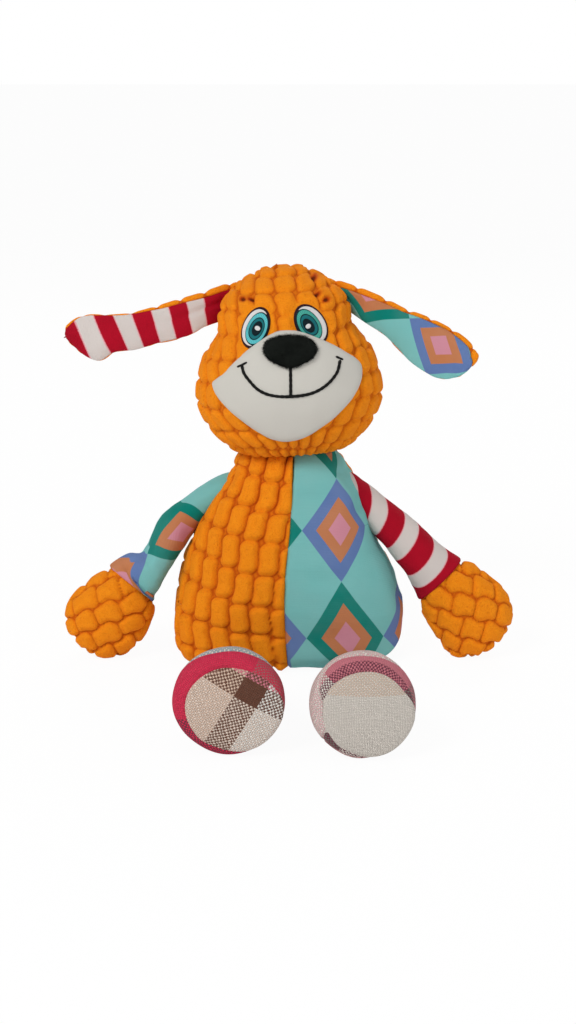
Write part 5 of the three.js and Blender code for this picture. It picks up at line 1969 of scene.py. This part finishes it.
# %% Legs
# Way along the leg, distance before the hip, height over the hip, half width in millimetres, and
# half height as a share of the half width
LEG_ROWS = [
    [0.0, -8, -8.0, 9.5, 0.38],
    [0.07, 2, -9.0, 10.2, 0.4],
    [0.14, 12, -9.0, 11.2, 0.54],
    [0.22, 24, -7.6, 12.4, 0.74],
    [0.34, 43, -4.8, 14.4, 0.93],
    [0.46, 60, -0.4, 17.0, 1.0],
    [0.56, 72, 3.2, 20.2, 1.0],
    [0.64, 82, 5.8, 23.2, 1.0],
    [0.72, 92, 7.6, 25.8, 1.0],
    [0.8, 100, 8.6, 27.5, 1.0],
    [0.86, 105, 8.9, 27.6, 1.0],
    [0.91, 109.2, 9.1, 26.4, 1.0],
    [0.95, 111.6, 9.1, 24.2, 1.0],
    [0.98, 112.4, 9.1, 21.8, 1.0],
    [1.0, 111.6, 9.1, 19.6, 1.0],
]
LEG_LENGTH = 112.0
ROOT_REACH = 60.0
FOOT_STARTS = 45.0
FOOT_RAMP = 40.0
SAG_RAMP = 20.0
OVER_FLOOR = 0.3
# How far the foot leans in from the hip, how far out the root is, how much longer the leg is and
# how far it sags behind the foot, its width and height as shares of the table's, and the sole's
# half sizes, place on the foot and the turn of its plaid
FEET = {
    "right": {"in": 2.0, "root": 0.0, "reach": 1.0, "sag": 0.0, "size": (0.98, 0.96), "sole": (24.9, 22.1),
              "place": (2.2, -2.0), "turn": 31.0},
    "left": {"in": -5.8, "root": 4.5, "reach": 1.045, "sag": 1.5, "size": (0.93, 0.96), "sole": (23.4, 22.4),
             "place": (1.8, -2.4), "turn": 0.0},
}


def leg_surface(side, share, turn, inset=0.0):
    """Rings round a leg: turn 0 is at its underside and a quarter is at the picture's right. The
    foot's ring is flattened and shifted more and more from where the foot starts."""
    foot, hip = FEET[side], pivots[side + "_leg_swing"]
    before, over, radius, flat = smooth(LEG_ROWS, share)
    over = over - foot["sag"] * np.clip((LEG_LENGTH - before) / SAG_RAMP - 0.5, 0, 1)
    is_foot = np.clip((before - FOOT_STARTS) / FOOT_RAMP, 0, 1)
    wide, high = (1 + (size - 1) * is_foot for size in foot["size"])
    radius = np.maximum(radius - inset, 1.0)
    spread_out = foot["root"] * np.clip(1 - before / ROOT_REACH, 0, 1) - foot["in"] * before / LEG_LENGTH
    x = hip[0] + outwards(side) * spread_out + radius * wide * np.sin(turn)
    z = hip[2] + over - radius * flat * high * np.cos(turn)
    z = np.maximum(z, cad_low.z / MM + OVER_FLOOR)
    return np.stack([x, hip[1] - before * foot["reach"] + 0 * turn, z], -1)


print("legs", LEG_LENGTH, "mm long")

# %% Leg covers
# Depth, size and seed of two layers of dents, which are full after a quarter of the leg
LEG_DENTS = ((0.7, 30, 101), (0.3, 13, 102))
LEG_CALM = 4
# The place on the cloth where the cover ends at the sole, and the radius that sets its width
CLOTH_END = 60
CLOTH_RADIUS = 27.0
# Where the second scrap starts on the underside, how much nearer to the hip it starts on top, how
# far it comes forward on the dog's inner side, and how that side is turned down
SCRAP_START = 48.0
SCRAP_DROP = 14.0
SCRAP_SIDE = {"right": 0.0, "left": 32.0}
SCRAP_LOWER = 0.3
FOLD_DEPTH = 1.3
FOLD_WIDTH = 1.1


def scrap_line(side, place, turn):
    """How far a point is past the seam between the leg's two scraps."""
    past = place - SCRAP_START + SCRAP_DROP * (1 + np.cos(turn))
    return past - SCRAP_SIDE[side] * np.clip(-np.sin(turn - SCRAP_LOWER), 0, 1) ** 3


def leg_cover(side):
    """The leg's tube, with a bell-shaped fold where its two scraps are sewn together."""
    share = np.linspace(0, 1, 190)[:, None]
    turn = turns(160)
    points = leg_surface(side, share, turn)
    along = arc(points[:, 80:81], 0) + np.zeros(points.shape[:2])
    place = along - along.max() + CLOTH_END
    past_scrap = scrap_line(side, place, turn)
    height = sum(deep * ripple(points, size, seed) for deep, size, seed in LEG_DENTS)
    height = height * np.clip(share * LEG_CALM, 0, 1) - FOLD_DEPTH * np.exp(-((past_scrap / FOLD_WIDTH) ** 2))
    full = stuffed(points, every=6, slack=0.03, most=1.2, wrap=True)
    outer, inner = sewn(full, height, ends=(), wrap=True)
    cloth = np.stack([(turn - np.pi) * CLOTH_RADIUS + 0 * along, place, past_scrap], -1)
    made = piece(side + "_leg_cloth", outer, inner, {"cloth": cloth}, wrap=True)
    dress(made, leg_cloth[side], "plaid_cloth", side + "_leg_cover", fill=0.85)
    return bent(made)


# %% Soles
SOLE_BULGE = 3.4
SOLE_EDGE = 3.2
SOLE_EDGE_SHARE = 0.7
SOLE_INSET = 1.6
SOLE_WALL = 2.2
SOLE_DENTS = 0.5
SOLE_WAVE = (0.02, 0.012)
SOLE_SLOTS = {"right": "plaid_cloth", "left": "cream_cloth"}


def sole(side):
    """A disc of cloth whose middle swells forward by a parabola and whose edge rolls in by a
    quarter circle."""
    foot, hip = FEET[side], pivots[side + "_leg_swing"]
    middle = hip + [foot["place"][0] - outwards(side) * foot["in"], -LEG_LENGTH * foot["reach"],
                    LEG_ROWS[-1][2] + foot["place"][1]]
    rings = np.linspace(1, POLE_SHARE, 60)[:, None]
    turn = turns(160)
    wave = 1 + SOLE_WAVE[0] * np.sin(2 * turn + 1) + SOLE_WAVE[1] * np.sin(5 * turn)
    across = rings * foot["sole"][0] * wave * np.sin(turn)
    up = -rings * foot["sole"][1] * wave * np.cos(turn)
    inward = (1 - rings) * foot["sole"][1]
    edge = np.sqrt(1 - np.clip(1 - inward / SOLE_EDGE, 0, 1) ** 2)
    y = SOLE_INSET - SOLE_EDGE * edge * SOLE_EDGE_SHARE - SOLE_BULGE * (1 - rings**2) + 0 * turn
    points = np.stack([across, y, up], -1) + middle
    points[..., 1] += SOLE_DENTS * ripple(points, 22, 111)
    lean, rise = np.cos(np.radians(foot["turn"])), np.sin(np.radians(foot["turn"]))
    cloth = np.stack([across * lean - up * rise, across * rise + up * lean, 0 * up], -1)
    inner = points + [0, SOLE_WALL, 0]
    made = piece(side + "_sole_cloth", points, inner, {"cloth": cloth}, wrap=True, poles=(False, True))
    dress(made, sole_cloth[side], SOLE_SLOTS[side], side + "_sole", fill=0.8)
    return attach(made, side + "_leg")


for side in ("right", "left"):
    leg_cover(side)
    sole(side)

# %% [markdown]
# Inside, the filling is combed fibre that keeps clear of the cloth. The torso's is in a front and
# a back part round the squeaker. Each part is a thick shell, and a fine lumpiness over a coarse
# one makes it look pulled apart by hand. The squeaker keeps the shape that it has in the frame.

# %% Filling and squeaker materials
FIBRE_WHITE = colour(238, 237, 232)
FIBRE_SHADE = colour(206, 205, 200)
FIBRE_GRAIN = 700.0
CLUMP_GRAIN = 90.0
FIBRE_BUMP = 1.2
PLASTIC = colour(226, 230, 232)
PLASTIC_HAZE = colour(196, 202, 206)
HAZE = 0.4
HAZE_GRAIN = 160.0
SCUFF_GRAIN = 1500.0
SCUFF_BUMP = 0.05
# The plastic's least roughness, and how much scuffs add
PLASTIC_ROUGH = (0.22, 0.25)


def fibres(tree):
    """Combed fibre: the mean of fine strands and wide clumps picks the white."""
    strands = tree.noise(position(tree), FIBRE_GRAIN, 5.0)
    clumps = tree.noise(position(tree), CLUMP_GRAIN, 3.0)
    share = tree.sum("MULTIPLY", tree.sum("ADD", strands, clumps), 0.5)
    shown = tree.mix(share, FIBRE_SHADE, FIBRE_WHITE)
    return shown, rough(tree, strands, 1.0, 0.05), strands, FIBRE_BUMP


def plastic(tree):
    """Hazy plastic, whose roughness grows with its scuffs."""
    haze = tree.noise(position(tree), HAZE_GRAIN, 3.0)
    scuffs = tree.noise(position(tree), SCUFF_GRAIN, 2.0)
    shown = tree.mix(tree.sum("MULTIPLY", haze, HAZE), PLASTIC, PLASTIC_HAZE)
    least, more = PLASTIC_ROUGH
    return shown, tree.sum("MULTIPLY_ADD", scuffs, more, least), scuffs, SCUFF_BUMP


fibre = finish("filling_fibre", fibres, Specular_IOR_Level=MATT)
squeaker_plastic = finish("squeaker_plastic", plastic, Coat_Weight=0.2)
print("finishes", fibre.name, squeaker_plastic.name)

# %% Filling and squeaker
# Depth, size and seed of two layers of lumps
LUMPS = ((1.2, 16, 201), (0.5, 6, 202))
# How far in the outer and the inner side are from the torso's cloth, and how far both are raised
TORSO_WADDING = (8.0, 17.0)
TORSO_RAISED = [0, 0, 3]
HALF_GAP = 0.02
# Both sides as shares of the head's and the arms' half widths
HEAD_WADDING = (0.84, 0.5)
ARM_WADDING = (0.66, 0.2)
# How far in both sides are from the legs' cloth
LEG_WADDING = (4.5, 15.0)


def wadding(name, sides, body, node, wrap=True):
    """A thick shell of fibre between two grids, with lumps along the outer one's normals."""
    outer, inner = sides
    lumps = sum(deep * ripple(outer, size, seed) for deep, size, seed in LUMPS)
    made = piece(name, outer + facing(outer, wrap) * lumps[..., None], inner, {}, wrap=wrap)
    dress(made, fibre, "filling", node, fill=0.7)
    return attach(made, body)


rise = np.linspace(0.25, 0.93, 40)[:, None]
for name, way in (("front", -1), ("back", 1)):
    turn = way * np.linspace(HALF_GAP, np.pi - HALF_GAP, 50)[None, :]
    grids = [torso_surface(turn, rise, inset) + TORSO_RAISED for inset in TORSO_WADDING]
    wadding("torso_wadding_" + name, grids, "torso", "torso_filling_" + name, wrap=False)

turn = turns(60)
upright = head_surface(turn, np.linspace(0.08, 0.93, 40)[:, None])
wadding("head_wadding", [head_place(upright * size) for size in HEAD_WADDING], "head", "head_filling")

limb_turn = turn[:, ::2]
for side in ("right", "left"):
    arm_rows = np.array(SLEEVES[side][:-1] + PAWS[side][2:])
    limb = tube(arm_rows, np.linspace(0.25, 0.94, 40)[:, None], limb_turn)
    middle = limb.mean(1, keepdims=True)
    grids = [middle + (limb - middle) * size for size in ARM_WADDING]
    wadding(side + "_arm_wadding", grids, side + "_arm", side + "_arm_filling")
    share = np.linspace(0.24, 0.9, 40)[:, None]
    grids = [leg_surface(side, share, limb_turn, inset) for inset in LEG_WADDING]
    wadding(side + "_leg_wadding", grids, side + "_leg", side + "_leg_filling")

for node in ("squeaker_bulb", "squeaker_reed"):
    mesh = frame["nodes"][node].data
    mesh.materials.clear()
    mesh.materials.append(squeaker_plastic)
print("filling and squeaker done")

# %% [markdown]
# The toy stands on a plain white floor in soft light. The floor and the world are plain white to
# the camera, through Light Path, while the light on the toy stays at a plain level. The floor
# keeps a part of its own shading, which is where the toy's shadow shows.

# %% Floor and light
FLOOR_REACH = 30.0
FLOOR_BELOW = 0.4
WORLD_LEVEL = 0.46
FLOOR_GLOW = 0.95


def seen_directly(tree):
    """1 for rays from the camera, and for those that only mirror or pass on their way from it."""
    rays = tree.add("ShaderNodeLightPath").outputs
    indirect = tree.sum("MAXIMUM", rays["Is Glossy Ray"], rays["Is Transmission Ray"])
    return tree.sum("MAXIMUM", rays["Is Camera Ray"], indirect)


floor_mesh = bpy.data.meshes.new("floor")
corners = [(-FLOOR_REACH, -FLOOR_REACH), (FLOOR_REACH, -FLOOR_REACH), (FLOOR_REACH, FLOOR_REACH),
           (-FLOOR_REACH, FLOOR_REACH)]
floor_level = cad_low.z - FLOOR_BELOW * MM
floor_mesh.from_pydata([(x, y, floor_level) for x, y in corners], [], [(0, 1, 2, 3)])
floor = placed("floor", floor_mesh)

floor_paint = bpy.data.materials.new("floor_paint")
floor_paint.use_nodes = True
tree = Tree(floor_paint.node_tree)
paint = floor_paint.node_tree.nodes["Principled BSDF"]
paint.inputs["Base Color"].default_value = (1, 1, 1, 1)
paint.inputs["Roughness"].default_value = 0.9
seen = seen_directly(tree)
glow = tree.add("ShaderNodeEmission", {"Color": (1, 1, 1, 1), "Strength": 1.0})
mixed = tree.add("ShaderNodeMixShader", {0: tree.sum("MULTIPLY", seen, FLOOR_GLOW), 1: paint.outputs[0],
                                         2: glow.outputs[0]})
tree.tree.links.new(mixed.outputs[0], floor_paint.node_tree.nodes["Material Output"].inputs[0])
floor_mesh.materials.append(floor_paint)

world = bpy.data.worlds.new("world")
bpy.context.scene.world = world
world.use_nodes = True
tree = Tree(world.node_tree)
background = world.node_tree.nodes["Background"]
level = tree.sum("MULTIPLY_ADD", seen_directly(tree), 1.0 - WORLD_LEVEL, WORLD_LEVEL)
tree.tree.links.new(level, background.inputs["Strength"])
background.inputs["Color"].default_value = (1, 1, 1, 1)

LAMPS = {
    "key": {"place": (-0.9, -1.2, 1.3), "size": 0.6, "watts": 17.0},
    "fill": {"place": (1.1, -1.0, 0.6), "size": 1.2, "watts": 4.0},
    "back": {"place": (0.3, 1.2, 1.2), "size": 1.0, "watts": 6.0},
}
for name, lamp in LAMPS.items():
    light = bpy.data.lights.new(name, "AREA")
    light.size = lamp["size"]
    light.energy = lamp["watts"]
    made = placed(name, light)
    made.location = lamp["place"]
    made.rotation_mode = "QUATERNION"
    made.rotation_quaternion = (LOOK_AT - made.location).to_track_quat("-Z", "Y")
print("lamps", list(LAMPS))
